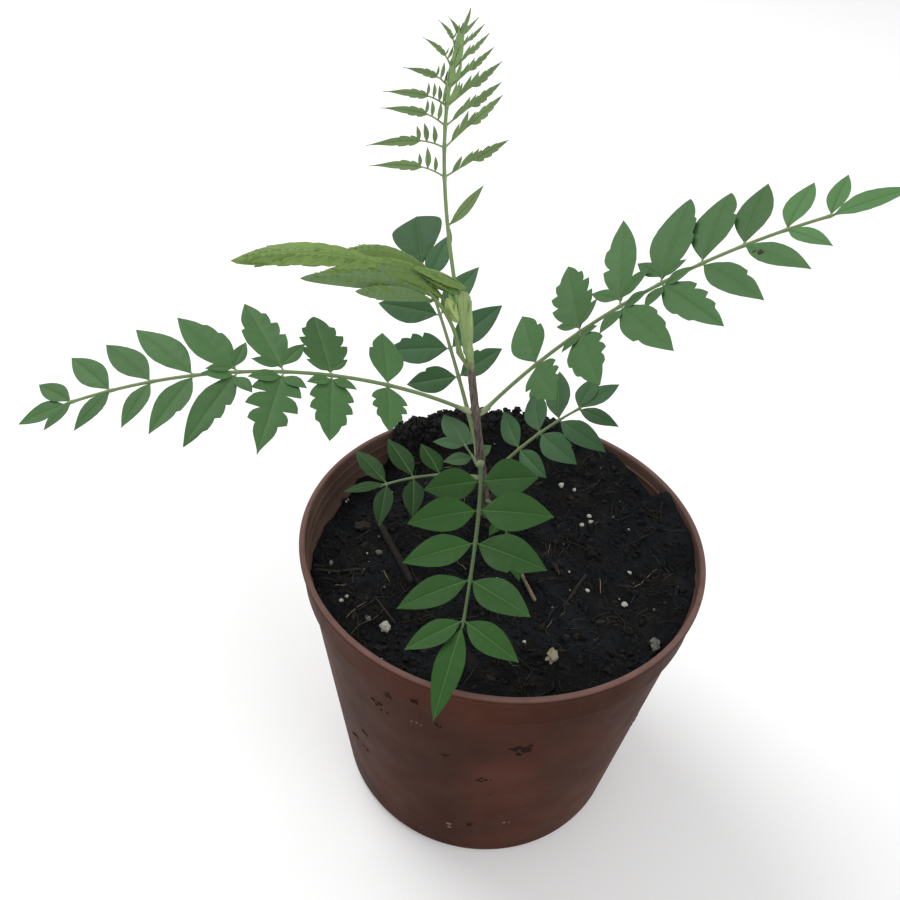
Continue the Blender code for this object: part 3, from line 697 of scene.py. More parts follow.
def young_bark(look):
    """Brown young bark with furrows darkened by painted shade, pale pores, and green above the last
    node.
    """
    recipe = Recipe("young_bark")
    height = recipe.axis("Z")
    furrowed = recipe.noise(1.0, 5.0, 0.70, recipe.stretched(1500.0, 1500.0, 190.0))
    # The furrows take a darker colour: painted shade where the bump sinks
    colour = recipe.mixed(recipe.band(furrowed, 0.34, 0.66), look.shadow_bark, look.bark)
    ashy = recipe.band(recipe.noise(260.0, 4.0, 0.7), 0.52, 0.72)
    colour = recipe.mixed(ashy * 0.55, colour, blended(look.bark, ASHY_BARK, 0.45))
    pores = 1.0 - recipe.band(recipe.cells(1.0, recipe.stretched(1100.0, 1100.0, 420.0)),
                              0.10, 0.20)
    colour = recipe.mixed(pores * 0.5, colour, PALE_PORE)
    rubbed = recipe.noise(520.0, 3.0) * 0.006
    change = stem_foot_height() + look.change
    greening = recipe.band(height + rubbed, change - 0.001, change + 0.0055)
    fresh = recipe.noise(1.0, 3.0, 0.6, recipe.stretched(1400.0, 1400.0, 130.0))
    fresh = recipe.shaded(fresh, look.shoot, 0.70, 1.25)
    recipe.set(Base_Color=recipe.mixed(greening, colour, fresh),
               Roughness=0.74 - greening * 0.22 + furrowed * 0.10, Specular_IOR_Level=0.35)
    recipe.bump(furrowed + pores * 0.6, 0.00022, 0.75)
    return recipe.material


def leaf_green(name, colour, roughness=0.52, contrast=0.16):
    """Matte leaf tissue: one green with a soft mottle and a fine cell grain."""
    recipe = Recipe(name)
    mottle = recipe.noise(260.0, 4.0, 0.6)
    fine = recipe.noise(1700.0, 2.0)
    mottled = recipe.shaded(mottle * 0.7 + fine * 0.3, colour, 1.0 - contrast, 1.0 + contrast)
    recipe.set(Base_Color=mottled, Roughness=recipe.noise(300.0) * 0.16 + (roughness - 0.08),
               Specular_IOR_Level=0.13)
    recipe.bump(fine * 0.6 + mottle * 0.4, 0.00010, 0.5)
    return recipe.material


def stalk_green(name, colour, seat, foot):
    """Smooth stalk tissue with a little brown blush, the colour of the stem at its seat."""
    recipe = Recipe(name)
    drawn = recipe.noise(340.0, 4.0, 0.6)
    blushed = recipe.band(recipe.noise(75.0, 3.0), 0.52, 0.72)
    tissue = recipe.shaded(drawn, colour, 0.82, 1.15)
    tissue = recipe.mixed(blushed * 0.35, tissue, STALK_BLUSH)
    away = recipe.distance(tuple(seat))
    near = 1.0 - recipe.band(away + recipe.noise(500.0) * 0.0015, 0.0028, 0.0090)
    recipe.set(Base_Color=recipe.mixed(near * 0.8, tissue, foot),
               Roughness=recipe.noise(280.0) * 0.15 + 0.42, Specular_IOR_Level=0.35)
    recipe.bump(recipe.noise(1300.0, 3.0), 0.00010, 0.5)
    return recipe.material


def pale_floor(look):
    """An even pale floor with the faintest unevenness."""
    recipe = Recipe("pale_floor")
    cloudy = recipe.noise(3.0, 3.0)
    recipe.set(Base_Color=recipe.shaded(cloudy, look.floor, 0.99, 1.01), Roughness=0.9,
               Specular_IOR_Level=0.1, Emission_Color=(1.0, 1.0, 1.0), Emission_Strength=0.12)
    return recipe.material


# ---- gathering many small forms into one mesh ----

def linked(name, data):
    """Return a new object that is linked to the scene."""
    made = bpy.data.objects.new(name, data)
    bpy.context.scene.collection.objects.link(made)
    return made


class Gathering:
    """Points and faces of many small forms, gathered for one piece."""

    def __init__(self):
        self.points = []
        self.faces = []
        self.finishes = []

    def add(self, points, faces, finish=0):
        """Add a form; finish is one material index or one for each face."""
        first = len(self.points)
        self.points.extend(points)
        self.faces.extend(tuple(first + i for i in face) for face in faces)
        self.finishes.extend(finish if isinstance(finish, list) else [finish] * len(faces))

    def piece(self, name, materials, sharp_angle=50):
        """Make the object, with smooth shading up to an edge angle."""
        mesh = bpy.data.meshes.new(name)
        mesh.from_pydata(self.points, [], self.faces)
        for material in materials:
            mesh.materials.append(material)
        mesh.polygons.foreach_set("material_index", self.finishes)
        mesh.shade_smooth()
        mesh.set_sharp_from_angle(angle=radians(sharp_angle))
        return linked(name, mesh)


def ring_faces(rings, sides):
    """Return the faces that join rings of points, outward when the rings turn left."""
    faces = []
    for i in range(rings - 1):
        for j in range(sides):
            k = (j + 1) % sides
            faces.append((i * sides + j, i * sides + k, (i + 1) * sides + k, (i + 1) * sides + j))
    return faces


def tube_faces(rings, sides, flip=False):
    """Return the faces of a tube that two end points, which follow its rings, close."""
    near, last = rings * sides, (rings - 1) * sides
    faces = ring_faces(rings, sides)
    for j in range(sides):
        k = (j + 1) % sides
        faces += [(near, k, j), (near + 1, last + j, last + k)]
    return [face[::-1] for face in faces] if flip else faces


def add_tube(gathering, path, radii, sides, finish=0, fluting=0.0):
    """Add a closed tube along a path; fluting makes a shallow groove on its upper side."""
    points = []
    side_way = None
    last = len(path) - 1
    angles = turns(sides)
    for i, spot in enumerate(path):
        along = (path[min(i + 1, last)] - path[max(i - 1, 0)]).normalized()
        if side_way is None:
            flat = Vector((0.0, 0.0, 1.0)).cross(along)
            side_way = flat.normalized() if flat.length > 0.01 else along.orthogonal().normalized()
        side_way = (side_way - along * side_way.dot(along)).normalized()
        up_way = along.cross(side_way)
        for turn in angles:
            reach = radii[i] * (1.0 - fluting * max(0.0, sin(turn)) ** 6)
            points.append(spot + swung(side_way, up_way, turn) * reach)
    gathering.add(points + [path[0], path[-1]], tube_faces(len(path), sides), finish)


def lump_template(level):
    """Return the points and faces of a round lump to be knocked out of shape."""
    work = bmesh.new()
    bmesh.ops.create_icosphere(work, subdivisions=level, radius=1.0)
    points = [vertex.co.copy() for vertex in work.verts]
    faces = [[vertex.index for vertex in face.verts] for face in work.faces]
    work.free()
    return points, faces


def add_lump(gathering, template, spot, sizes, dice, roughness, finish):
    """Add a lump with its own dents, turned at random."""
    points, faces = template
    turn = Matrix.Rotation(dice.uniform(0, FULL_TURN), 3, 'Z')
    turn = turn @ Matrix.Rotation(dice.uniform(-0.5, 0.5), 3, 'X')
    shift = Vector([dice.uniform(0, 90) for axis in range(3)])
    made = []
    for point in points:
        reach = 1.0 + roughness * noise.noise(point * 1.7 + shift)
        shaped = Vector((point.x * sizes[0], point.y * sizes[1], point.z * sizes[2])) * reach
        made.append(spot + turn @ shaped)
    gathering.add(made, faces, finish)


def made_of(points, faces, name, material, sharp_angle=50):
    """Make an object of one form and one material."""
    gathering = Gathering()
    gathering.add(points, faces)
    return gathering.piece(name, [material], sharp_angle)


def settle(piece, slot, *nodes):
    """Hand a finished piece to the frame: it rides on the body and stands for nodes."""
    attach(piece, BODY)
    for node in nodes:
        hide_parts(node)


# ---- shapes shared with the solids ----

def body_radius(height):
    """Return the outer radius of the pot's tapering body at a height."""
    share = height / COLLAR_FOOT
    return FOOT_RADIUS + (RIM_RADIUS - BODY_INSET - FOOT_RADIUS) * share


def inner_wall_points():
    """Return the pot's inner side as (height, radius) points, bottom to top."""
    step_top = COLLAR_FOOT + COLLAR_STEP
    step_bottom = step_top - COLLAR_SHELF
    return (
        (FLOOR, FOOT_RADIUS - WALL),
        (step_bottom, body_radius(step_bottom) - WALL),
        (step_top, RIM_RADIUS - BODY_INSET),
        (POT_HEIGHT - RIM_LAND_DEPTH, RIM_RADIUS - RIM_LAND - 0.0004),
        (POT_HEIGHT, RIM_RADIUS - RIM_LAND),
    )


def inner_radius(height):
    """Return the pot's inner radius at a height."""
    points = inner_wall_points()
    for (low, low_radius), (high, high_radius) in zip(points, points[1:]):
        if height <= high:
            share = (height - low) / (high - low)
            return low_radius + (high_radius - low_radius) * share
    return points[-1][1]


def soil_lie(x, y):
    """Return the soil's height without its ripples: a heap, a dip and a slant."""
    toward_back = max(0.0, y / RIM_RADIUS)
    heap = SOIL_HEAP * toward_back ** 3 * bell(x - HEAP_CENTRE, HEAP_SPREAD)
    dip = exp(-((x - DIP_CENTRE[0]) ** 2 + (y - DIP_CENTRE[1]) ** 2) / DIP_SPREAD ** 2)
    dip *= SOIL_DIP
    return POT_HEIGHT - SOIL_DROP + heap - dip + SOIL_SLANT * x / RIM_RADIUS


def soil_height(x, y):
    """Return the height of the soil's surface at a point."""
    away = hypot(x - STEM_FOOT.x, y - STEM_FOOT.y)
    bumpy = limited((away - STEM_FLAT_RADIUS) / 0.010)
    at_stem = soil_lie(STEM_FOOT.x, STEM_FOOT.y)
    ripple = 0.0007 * sin(190.0 * x + 0.7) * sin(170.0 * y + 1.9)
    ripple += 0.0005 * sin(420.0 * x + 260.0 * y)
    return at_stem + (soil_lie(x, y) + ripple - at_stem) * bumpy


def stem_foot_height():
    """Return the height at which the stem leaves the soil."""
    return soil_height(STEM_FOOT.x, STEM_FOOT.y) + GAP


def stem_centre(height):
    """Return the stem's centre at a height above its foot."""
    leaning = max(0.0, height - STRAIGHT_FOOT)
    return Vector((STEM_FOOT.x - STEM_LEAN * leaning, STEM_FOOT.y, stem_foot_height() + height))


def into_dome(height):
    """Return how far a height lies into the stem's domed end, from 0 to 1."""
    return limited((height - STEM_LENGTH + TIP_DOME) / TIP_DOME)


def stem_radius(height):
    """Return the stem's radius: a taper, a flared foot, swollen nodes and a full tip."""
    share = height / STEM_LENGTH
    radius = STEM_RADIUS_LOW + (STEM_RADIUS_HIGH - STEM_RADIUS_LOW) * share
    radius += ROOT_FLARE * exp(-max(0.0, height) / FLARE_HEIGHT)
    for node in NODE_HEIGHTS:
        radius += NODE_SWELLING * bell(height - node, NODE_LENGTH)
    radius += TIP_SWELLING * limited((height - TIP_SWELLING_START) / TIP_SWELLING_LENGTH)
    return radius * sqrt(1.0 - 0.85 * into_dome(height) ** 2)


class Midrib:
    """The curved rib of a leaf: points and tangents worked out from its angles."""

    FINE = 8

    def __init__(self, leaf):
        self.leaf = leaf
        self.count = max(4, round(leaf.reach / MIDRIB_STEP)) * self.FINE
        self.out = direction(leaf.heading, 0.0)
        tilt = sin(radians(abs(leaf.rise[0])))
        clear = stem_radius(leaf.height) * 0.98 + GAP + leaf.thickness[0] * 0.90 * tilt
        spot = stem_centre(leaf.height) + self.out * clear
        stride = leaf.reach / self.count
        self.points = [spot]
        for i in range(self.count):
            spot = spot + self.tangent((i + 0.5) / self.count) * stride
            self.points.append(spot)

    def tangent(self, share):
        """Return the rib's direction at a share of its length."""
        leaf = self.leaf
        pitch = leaf.rise[0] + (leaf.rise[1] - leaf.rise[0]) * share
        return direction(leaf.heading + leaf.sweep * share, pitch)

    def point(self, share):
        """Return the rib's centre at a share of its length."""
        at = limited(share) * self.count
        index = min(int(at), self.count - 1)
        return self.points[index].lerp(self.points[index + 1], at - index)

    def radius(self, share):
        """Return the rib's radius at a share of its length."""
        thick, thin = self.leaf.thickness
        slender = 0.62 if self.leaf.kind == "folded" else 1.0
        return (thick + (thin - thick) * share) * slender

    def frame(self, share):
        """Return the rib's tangent, its right-hand side and its upper side."""
        along = self.tangent(share)
        heading = self.leaf.heading + self.leaf.sweep * share
        right = direction(heading - 90.0, 0.0)
        upper = right.cross(along)
        roll = Matrix.Rotation(radians(-self.leaf.twist), 3, along)
        return along, roll @ right, roll @ upper


def size_along(sizes, share):
    """Return a smooth value through three sizes at the ends and the middle."""
    first, middle, last = sizes
    return (first * (1.0 - share) * (1.0 - 2.0 * share)
            + middle * 4.0 * share * (1.0 - share)
            + last * share * (2.0 * share - 1.0))


# ---- leaflets ----

TOOTH_LEAN = 0.045
TOOTH_SPAN = 0.16


class Margin:
    """One edge of a leaflet: a smooth bulge with teeth that lean to the tip."""

    def __init__(self, blade, teeth):
        self.blade = blade
        self.teeth = teeth

    def envelope(self, share):
        """Return the half width without teeth, as a share of the blade's length."""
        blade = self.blade
        if share <= blade.widest:
            bulge = sin(0.5 * pi * max(0.0, share) / blade.widest) ** 0.90
        else:
            angle = 0.5 * pi * (share - blade.widest) / (1.0 - blade.widest)
            bulge = max(0.0, cos(angle)) ** blade.taper
        return 0.5 * blade.slimness * bulge

    def shares(self):
        """Return the places along the blade where the edge has a corner."""
        corners = []
        for tooth in self.teeth:
            valley = tooth[0] + TOOTH_LEAN
            corners += [tooth[0], valley, valley + 0.35 * TOOTH_SPAN]
        return corners

    def half_width(self, share):
        """Return the half width at a share of the blade."""
        cut = 0.0
        for point, depth in self.teeth:
            valley = point + TOOTH_LEAN
            if point < share <= valley:
                cut = max(cut, depth * (share - point) / TOOTH_LEAN)
            elif share > valley:
                cut = max(cut, depth * max(0.0, 1.0 - (share - valley) / TOOTH_SPAN) ** 1.5)
        return self.envelope(share) * (1.0 - cut)

    def forward(self, share):
        """Return how far the edge is drawn to the tip by a tooth."""
        pull = 0.0
        for point, depth in self.teeth:
            pull = max(pull, depth * (1.0 - abs(share - point) / (1.3 * TOOTH_LEAN)))
        return pull * 0.10


@dataclass(frozen=True)
class Blade:
    """The form of a leaflet's blade."""

    length: float
    slimness: float = LEAFLET_SLIMNESS
    left_teeth: tuple = ()
    right_teeth: tuple = ()
    widest: float = WIDEST_POINT
    taper: float = 0.95
    begin: float = LEAFLET_STALK
    cup: float = LEAFLET_CUP
    curl: float = LEAFLET_CURL
    bend: float = 0.0
    roll: float = 0.0
    rows: int = 26
    columns: int = 4
    veins: int = 7
    pillow: float = 1.0
    tip_from: float = 2.0


def leaflet_frame(along, upper, roll=0.0):
    """Return a leaflet's rib direction, its left side and its face."""
    across = upper.cross(along).normalized()
    face = along.cross(across).normalized()
    if roll:
        turn = Matrix.Rotation(radians(roll), 3, along)
        across, face = turn @ across, turn @ face
    return along, across, face


def blade_rows(blade, edges):
    """Return the stations along a blade, with each corner of its edges among them."""
    shares = {round(i / blade.rows, 4) for i in range(blade.rows + 1)}
    for edge in edges:
        shares.update(round(share, 4) for share in edge.shares() if share < 0.97)
    kept = [0.0]
    for share in sorted(shares):
        if share - kept[-1] >= 0.010:
            kept.append(share)
    kept[-1] = 1.0
    return kept


def add_blade(gathering, root, along, upper, blade, look, dice, tint, guide=None):
    """Add one leaflet: a thin closed blade, folded on its rib, with swells and teeth.

    The upper side has the tint; the underside, the rib and a young tip have their own green.
    A guide gives the centre, left side and face at each share of a blade that isn't straight.
    """
    along, across, face = leaflet_frame(along, upper, blade.roll)
    edges = {1.0: Margin(blade, blade.left_teeth), -1.0: Margin(blade, blade.right_teeth)}
    rows = blade_rows(blade, edges.values())
    length = blade.length
    steps = [(i + 1) / blade.columns for i in range(blade.columns)]
    columns = [(-1.0, step) for step in reversed(steps)] + [(-1.0, 0.0), (0.0, 0.0), (1.0, 0.0)]
    columns += [(1.0, step) for step in steps]
    width = len(columns)
    upper_points, lower_points = [], []
    wander = dice.uniform(0.0, 60.0)
    for row in rows:
        share = blade.begin + (1.0 - blade.begin) * row
        rib = min(look.rib, 0.020 * length) * (1.0 - 0.75 * row) + 0.00002
        for side, step in columns:
            edge = edges[side or 1.0]
            half = max(edge.half_width(row) * length, rib * 1.04)
            aside = side * (rib + (half - rib) * step)
            reach = share * length + edge.forward(row) * length * step * step
            vein = abs(sin(pi * blade.veins * (row - 0.55 * abs(aside) / length)))
            swell = blade.pillow * look.pillow * length * (vein - 0.55)
            swell *= 4.0 * step * (1.0 - 0.80 * step) * (1.0 - row)
            wavy = noise.noise(Vector((share * 3.0, side * 2.0 + step, wander)))
            height = abs(aside) * blade.cup * (1.0 - 0.25 * step)
            height -= blade.curl * length * share * share
            height += swell + 0.012 * length * wavy * step
            aside += blade.bend * length * share * share
            thick = 0.5 * look.thickness * (1.0 - 0.65 * step * step) * (1.0 - 0.5 * row)
            if guide:
                centre, across, face = guide(share)
                spot = centre + across * aside
            else:
                spot = root + along * reach + across * aside
            ridge = rib if side == 0.0 else 0.0
            upper_points.append(spot + face * (height + thick - 0.5 * ridge))
            lower_points.append(spot + face * (height - thick - 1.2 * ridge))
    faces, finishes = [], []
    last = len(rows) - 1
    below = len(upper_points)
    on_rib = (blade.columns, blade.columns + 1)
    for i in range(last):
        at_tip = rows[i] >= blade.tip_from
        for j in range(width - 1):
            a, b = i * width + j, (i + 1) * width + j
            faces += [(a, b, b + 1, a + 1), (below + a, below + a + 1, below + b + 1, below + b)]
            finishes += [RIB if j in on_rib else TIP if at_tip else kind
                         for kind in (tint, UNDERSIDE)]
        for j in (0, width - 1):
            a, b = i * width + j, (i + 1) * width + j
            rim = (a, b, below + b, below + a)
            faces.append(rim if j else rim[::-1])
            finishes.append(tint)
    for i in (0, last):
        for a in range(i * width, (i + 1) * width - 1):
            rim = (a, a + 1, below + a + 1, below + a)
            faces.append(rim[::-1] if i else rim)
            finishes.append(tint)
    gathering.add(upper_points + lower_points, faces, finishes)


def add_stalk(gathering, root, along, upper, length, share, curl, radius):
    """Add a leaflet's little stalk, from the rib to the foot of its blade."""
    face = leaflet_frame(along, upper)[2]
    steps = 4
    path = []
    for i in range(steps + 1):
        at = share * 1.25 * i / steps
        path.append(root + along * (at * length) - face * (curl * length * at * at))
    radii = [radius * (1.15 - 0.45 * i / steps) for i in range(steps + 1)]
    add_tube(gathering, path, radii, 6)


class LeafMaker:
    """Grows one compound leaf into a gathering of leaflets and one of stalks."""

    def __init__(self, leaf, look):
        self.leaf = leaf
        self.look = look
        self.rib = Midrib(leaf)
        self.blades = Gathering()
        self.stalks = Gathering()
        self.fancy = random.Random("look of " + leaf.name)

    def grow(self):
        """Grow the rib, the pairs of leaflets and the end leaflet."""
        leaf = self.leaf
        rib = self.rib
        dice = random.Random(leaf.name)
        seats = []
        for pair in range(leaf.pairs):
            share = pair / (leaf.pairs - 1)
            at = leaf.span[0] + (leaf.span[1] - leaf.span[0]) * share ** leaf.crowding
            seats.append(at)
            along, right, upper = rib.frame(at)
            size = size_along(leaf.sizes, share)
            if pair == leaf.pairs - 1 and leaf.last_size > 0.0:
                size = leaf.last_size
            for side, slimness in zip((-1.0, 1.0), leaf.slimness):
                forms = leaf.left_forms if side < 0.0 else leaf.right_forms
                form = forms[pair] if pair < len(forms) else Form()
                splay = leaf.splay[0] + (leaf.splay[1] - leaf.splay[0]) * share
                splay = radians(splay + dice.uniform(-4.0, 4.0) - form.turn)
                lift = radians(leaf.lift + dice.uniform(-4.0, 4.0))
                length = size * dice.uniform(0.95, 1.05) * form.stretch
                outward = right * (side * cos(lift)) + upper * sin(lift)
                heading = swung(along, outward, splay).normalized()
                if length > 0.0 and leaf.kind != "folded":
                    self.leaflet(pair, side, form.slimness or slimness, form, rib.point(at),
                                 heading, upper, length)
        for at, splay, length in leaf.odd_leaflets:
            along, right, upper = rib.frame(at)
            heading = swung(along, right, radians(splay))
            self.single(rib.point(at), heading, upper, Blade(length, ODD_SLIMNESS))
        along, right, upper = rib.frame(1.0)
        usual = (1.0, max(leaf.slimness) * END_SLIMNESS_SHARE)
        stretch, slimness = leaf.end_form or usual
        heading = swung(along, upper, radians(leaf.end_lift))
        heading = (heading + right * tan(radians(leaf.end_turn))).normalized()
        blade = Blade(leaf.end_size * stretch, slimness, widest=leaf.end_widest)
        self.single(rib.point(1.0) - along * END_LEAFLET_SEAT, heading, upper, blade,
                    leaf.fresh_from < leaf.pairs)
        if leaf.kind == "folded":
            for fold in YOUNG_FOLDS:
                self.fold(*fold)
            for place in BACK_FOLDS:
                self.back_fold(*place)
        self.add_rib(seats)

    def add_rib(self, seats):
        """Add the leaf's own stalk, swollen at its foot and at each pair of leaflets."""
        rib = self.rib
        lead = rib.tangent(0.0)
        steep = sin(radians(abs(self.leaf.rise[0])))
        back = 0.0008 + 0.0052 * steep ** 4
        axis = stem_centre(self.leaf.height)
        inward = (rib.points[0] - axis).length - 0.0005 - back * cos(asin(steep))
        start = rib.points[0] - rib.out * inward - lead * back
        path = [start, start.lerp(rib.points[0], 0.55)]
        radii = [rib.radius(0.0) * 0.55, rib.radius(0.0) * 1.05]
        for i in range(0, rib.count + 1, 2):
            share = i / rib.count
            away = share * self.leaf.reach
            radius = rib.radius(share)
            if self.leaf.reach > LONG_LEAF:
                radius = 0.5 * (radius + LONG_LEAF_RADIUS)
            radius *= 0.90 + 0.50 * bell(away, RIB_FOOT_LENGTH)
            for seat in seats:
                gap = (share - seat) * self.leaf.reach
                radius += SEAT_SWELLING * bell(gap, SEAT_SWELLING_LENGTH)
            path.append(rib.points[i])
            radii.append(radius)
        radii[-1] *= 0.6
        add_tube(self.stalks, path, radii, 10, fluting=0.20)

    def lay(self, root, along, upper, blade, tint, guide=None):
        """Add one blade to the leaf."""
        add_blade(self.blades, root, along, upper, blade, self.look, self.fancy, tint, guide)

    def leaflet(self, pair, side, slimness, form, root, heading, upper, length):
        """Grow one leaflet or comb of a pair."""
        if self.leaf.kind == "comb":
            self.comb(pair, side, root, heading, upper, length)
        else:
            teeth = (form.tip_teeth, form.foot_teeth)
            left, right = teeth if side > 0.0 else reversed(teeth)
            blade = Blade(length, slimness, left, right,
                          bend=self.fancy.uniform(-0.02, 0.02),
                          roll=form.roll + self.fancy.uniform(-4.0, 4.0),
                          curl=LEAFLET_CURL * self.fancy.uniform(0.6, 1.3),
                          widest=form.widest, taper=form.taper)
            self.single(root, heading, upper, blade, pair >= self.leaf.fresh_from)
            if form.spot:
                self.dried_spot(root, heading, upper, length, form.spot)
            if self.leaf.side_pairs[0] <= pair < self.leaf.side_pairs[1]:
                self.side_leaflets(root, heading, upper, length)

    def dried_spot(self, root, heading, upper, length, place):
        """Lay a small dried brown spot on a leaflet."""
        dice = random.Random("spot")
        along, across, face = leaflet_frame(heading, upper)
        share, aside = place
        seat = root + along * (share * length) + across * (aside * length)
        seat += face * (LEAFLET_CUP * abs(aside) * length - LEAFLET_CURL * length * share ** 2)
        for i in range(7):
            spot = seat + along * dice.gauss(0.0, 0.0007) + across * dice.gauss(0.0, 0.0004)
            add_splash(self.blades, spot + face * 0.0002, face, dice.uniform(0.0004, 0.0009),
                       dice, DRIED)

    def single(self, root, heading, upper, blade, fresh=False):
        """Add a leaflet on its little stalk; a fresh one is paler."""
        tint = self.fancy.choice((NEWEST,) if fresh else (GREEN, GREEN, LIGHT, LIGHT, DEEP))
        small = blade.length < SMALL_LEAFLET
        if small:
            blade = Blade(blade.length, blade.slimness, cup=blade.cup, curl=blade.curl,
                          rows=14, columns=3, veins=5, begin=blade.begin)
        self.lay(root, heading, upper, blade, tint)
        radius = SMALL_STALK_RADIUS if small else STALK_RADIUS
        add_stalk(self.stalks, root, heading, upper, blade.length, blade.begin, blade.curl, radius)

    def side_leaflets(self, root, heading, upper, length):
        """Add the two small leaflets that stand at the foot of a lobed leaflet."""
        across = upper.cross(heading).normalized()
        seat = root + heading * (SIDE_LEAFLET_SEAT * length)
        splay = radians(SIDE_LEAFLET_SPLAY)
        for side in (-1.0, 1.0):
            out = heading * cos(splay) + across * (side * sin(splay)) + upper * 0.25
            size = SIDE_LEAFLET_SHARE * length * self.fancy.uniform(0.85, 1.15)
            self.single(seat, out.normalized(), upper, Blade(size, LEAFLET_SLIMNESS))

    def comb(self, pair, side, root, heading, upper, length):
        """Add a young comb: a thin stalk, upright side leaflets and a long end leaflet."""
        fancy = self.fancy
        habit = DROOPING if side < 0.0 else UPRIGHT
        leaflets, end_from, end_teeth = habit.side_leaflets, habit.end_from, habit.end_teeth
        if length <= SHORT_COMB:
            leaflets, end_from, end_teeth = SHORT_COMB_LEAFLETS, SHORT_COMB_END, ()
        along, across, face = leaflet_frame(heading, upper)
        tipward = across * side

        def spot(share):
            rise = habit.arch * 4.0 * share * (1.0 - share)
            return (root + along * (share * length) + tipward * (rise * length)
                    - face * (habit.curl * length * share * share))

        def small(share, out, size, slimness, cup, tint):
            blade = Blade(size, slimness, cup=cup, rows=12, columns=3, veins=4, begin=0.02)
            self.lay(spot(share), out.normalized(), upper, blade, tint)

        steps = 8
        path = [spot(1.15 * end_from * i / steps) for i in range(steps + 1)]
        radii = [STALK_RADIUS - 0.00012 * i / steps for i in range(steps + 1)]
        add_tube(self.stalks, path, radii, 6)
        for share, size in leaflets:
            splay = radians(fancy.uniform(*habit.spread))
            out = swung(along, tipward, splay) + face * 0.12
            small(share, out, size * length * fancy.uniform(0.85, 1.15), 0.34, 0.35,
                  fancy.choice((GREEN, LIGHT, DEEP)))
        if 3 <= pair <= 6:
            lead = self.rib.tangent(1.0)
            for i in range(3):
                splay = radians(fancy.uniform(2.0, 18.0))
                out = swung(lead, along, splay) + face * 0.1
                small(0.01 + 0.04 * i, out, fancy.uniform(0.0052, 0.0078), 0.26, 0.40, NEWEST)
        bent = (spot(end_from + 0.10) - spot(end_from)).normalized()
        end = Blade((1.0 - end_from) * length, habit.end_slimness, end_teeth, end_teeth,
                    begin=0.01, cup=0.25, widest=0.26, taper=habit.end_taper, curl=habit.curl,
                    bend=-side * habit.end_bend, rows=20, columns=3, veins=6, tip_from=0.84)
        self.lay(spot(end_from), bent, upper, end, fancy.choice((GREEN, LIGHT, DEEP)))

    def fold(self, start, stop, asides, lift, width, roll, tint):
        """Lay one long folded feather beside the rib of a young leaf."""
        rib = self.rib
        length = (stop - start) * self.leaf.reach
        turn = radians(roll)

        def guide(share):
            at = start + (stop - start) * share
            along, right, upper = rib.frame(min(at, 1.0))
            beyond = along * (max(0.0, at - 1.0) * self.leaf.reach)
            side_way = swung(right, upper, turn)
            face = swung(upper, right, -turn)
            aside = size_along(asides, share)
            rise = lift * sin(pi * min(0.99, 0.15 + 0.85 * share)) ** 0.5
            return rib.point(at) + beyond + right * aside + upper * rise, -side_way, face

        self.feather(guide, length, width, tint)

    def back_fold(self, at, lift, heading, pitch, length, slimness, tint):
        """Lay a folded feather that falls back from the rib of a young leaf."""
        root = self.rib.point(at) + Vector((0.0, 0.0, lift))
        along, across, face = leaflet_frame(direction(heading, pitch), Vector((0.0, -0.3, 1.0)))

        def guide(share):
            droop = face * (0.25 * length * share * share)
            return root + along * (share * length) - droop, across, face

        self.feather(guide, length, slimness * length, tint)

    def feather(self, guide, length, width, tint):
        """Lay a folded feather: a narrow body under small leaflets that overlap along it."""
        fancy = self.fancy
        body = Blade(length, 0.84 * width / length, begin=0.0, cup=-FEATHER_SLOPE, curl=0.0,
                     widest=0.54, taper=0.62, rows=30, columns=4, veins=11, pillow=2.0)
        centre, across, face = guide(0.0)
        ahead = (guide(0.04)[0] - centre).normalized()
        self.lay(centre, ahead, face, body, tint, guide)
        edge = Margin(body, ())
        count = round(length / FEATHER_PITCH)
        for i in range(count):
            share = 0.02 + 0.90 * i / count
            centre, across, face = guide(share)
            ahead = (guide(share + 0.04)[0] - centre).normalized()
            half = max(edge.envelope(share + 0.05) * length, 0.0009)
            for side in (-1.0, 1.0):
                slope = (across * side - face * FEATHER_SLOPE).normalized()
                outer = (face + across * (side * FEATHER_SLOPE)).normalized()
                out = swung(ahead, slope, radians(fancy.uniform(12.0, 25.0)))
                small = Blade(half * fancy.uniform(1.7, 2.3), 0.36, cup=-0.30, curl=0.05,
                              begin=0.0, rows=8, columns=2, veins=3)
                root = centre + slope * (0.22 * half) + outer * 0.00025
                shades = (UNDERSIDE, UNDERSIDE, UNDERSIDE, DEEP)
                if tint < UNDERSIDE:
                    shades = (tint, tint, DEEP, LIGHT if tint else UNDERSIDE)
                self.lay(root, out, outer, small, fancy.choice(shades))


def leaf_palette(leaf, look):
    """Return the materials of a leaf's blades, in the order of their indices."""
    # Leaves low on the stem take the shaded green, which holds painted shade; the lower left one is
    # darkened further as painted shade
    greens = {"leaf_left": look.mature, "leaf_right": look.mature, "leaf_tall": look.feathery,
              "leaf_young": look.young, "leaf_back": look.distant,
              "leaf_lower_right": look.distant, "leaf_lower_left": tinted(look.shade, 0.66),
              "leaf_small_back": blended(look.distant, look.underside, 0.30)}
    green = greens.get(leaf.name, look.shade)
    name = leaf.name.replace("leaf_", "")
    light, deep, under = 1.10, 0.92, blended(green, look.underside, 0.65)
    if leaf.kind == "folded":
        light, deep, under = 1.22, 0.90, tinted(blended(green, look.underside, 0.60), 1.16)
    palette = [
        leaf_green(name + "_green", green),
        leaf_green(name + "_green_light", tinted(green, light)),
        leaf_green(name + "_green_deep", tinted(green, deep)),
        leaf_green(name + "_underside", under, 0.62),
        leaf_green(name + "_rib", blended(green, look.vein, 0.55)),
        leaf_green(name + "_tip", blended(green, look.tip, 0.70)),
    ]
    fresh = leaf.fresh_from < leaf.pairs
    if fresh or leaf.kind == "comb":
        palette.append(leaf_green(name + "_newest", tinted(green, 1.40)))
    if fresh:
        palette.append(leaf_green(name + "_dried", look.spot, 0.85, 0.40))
    return palette


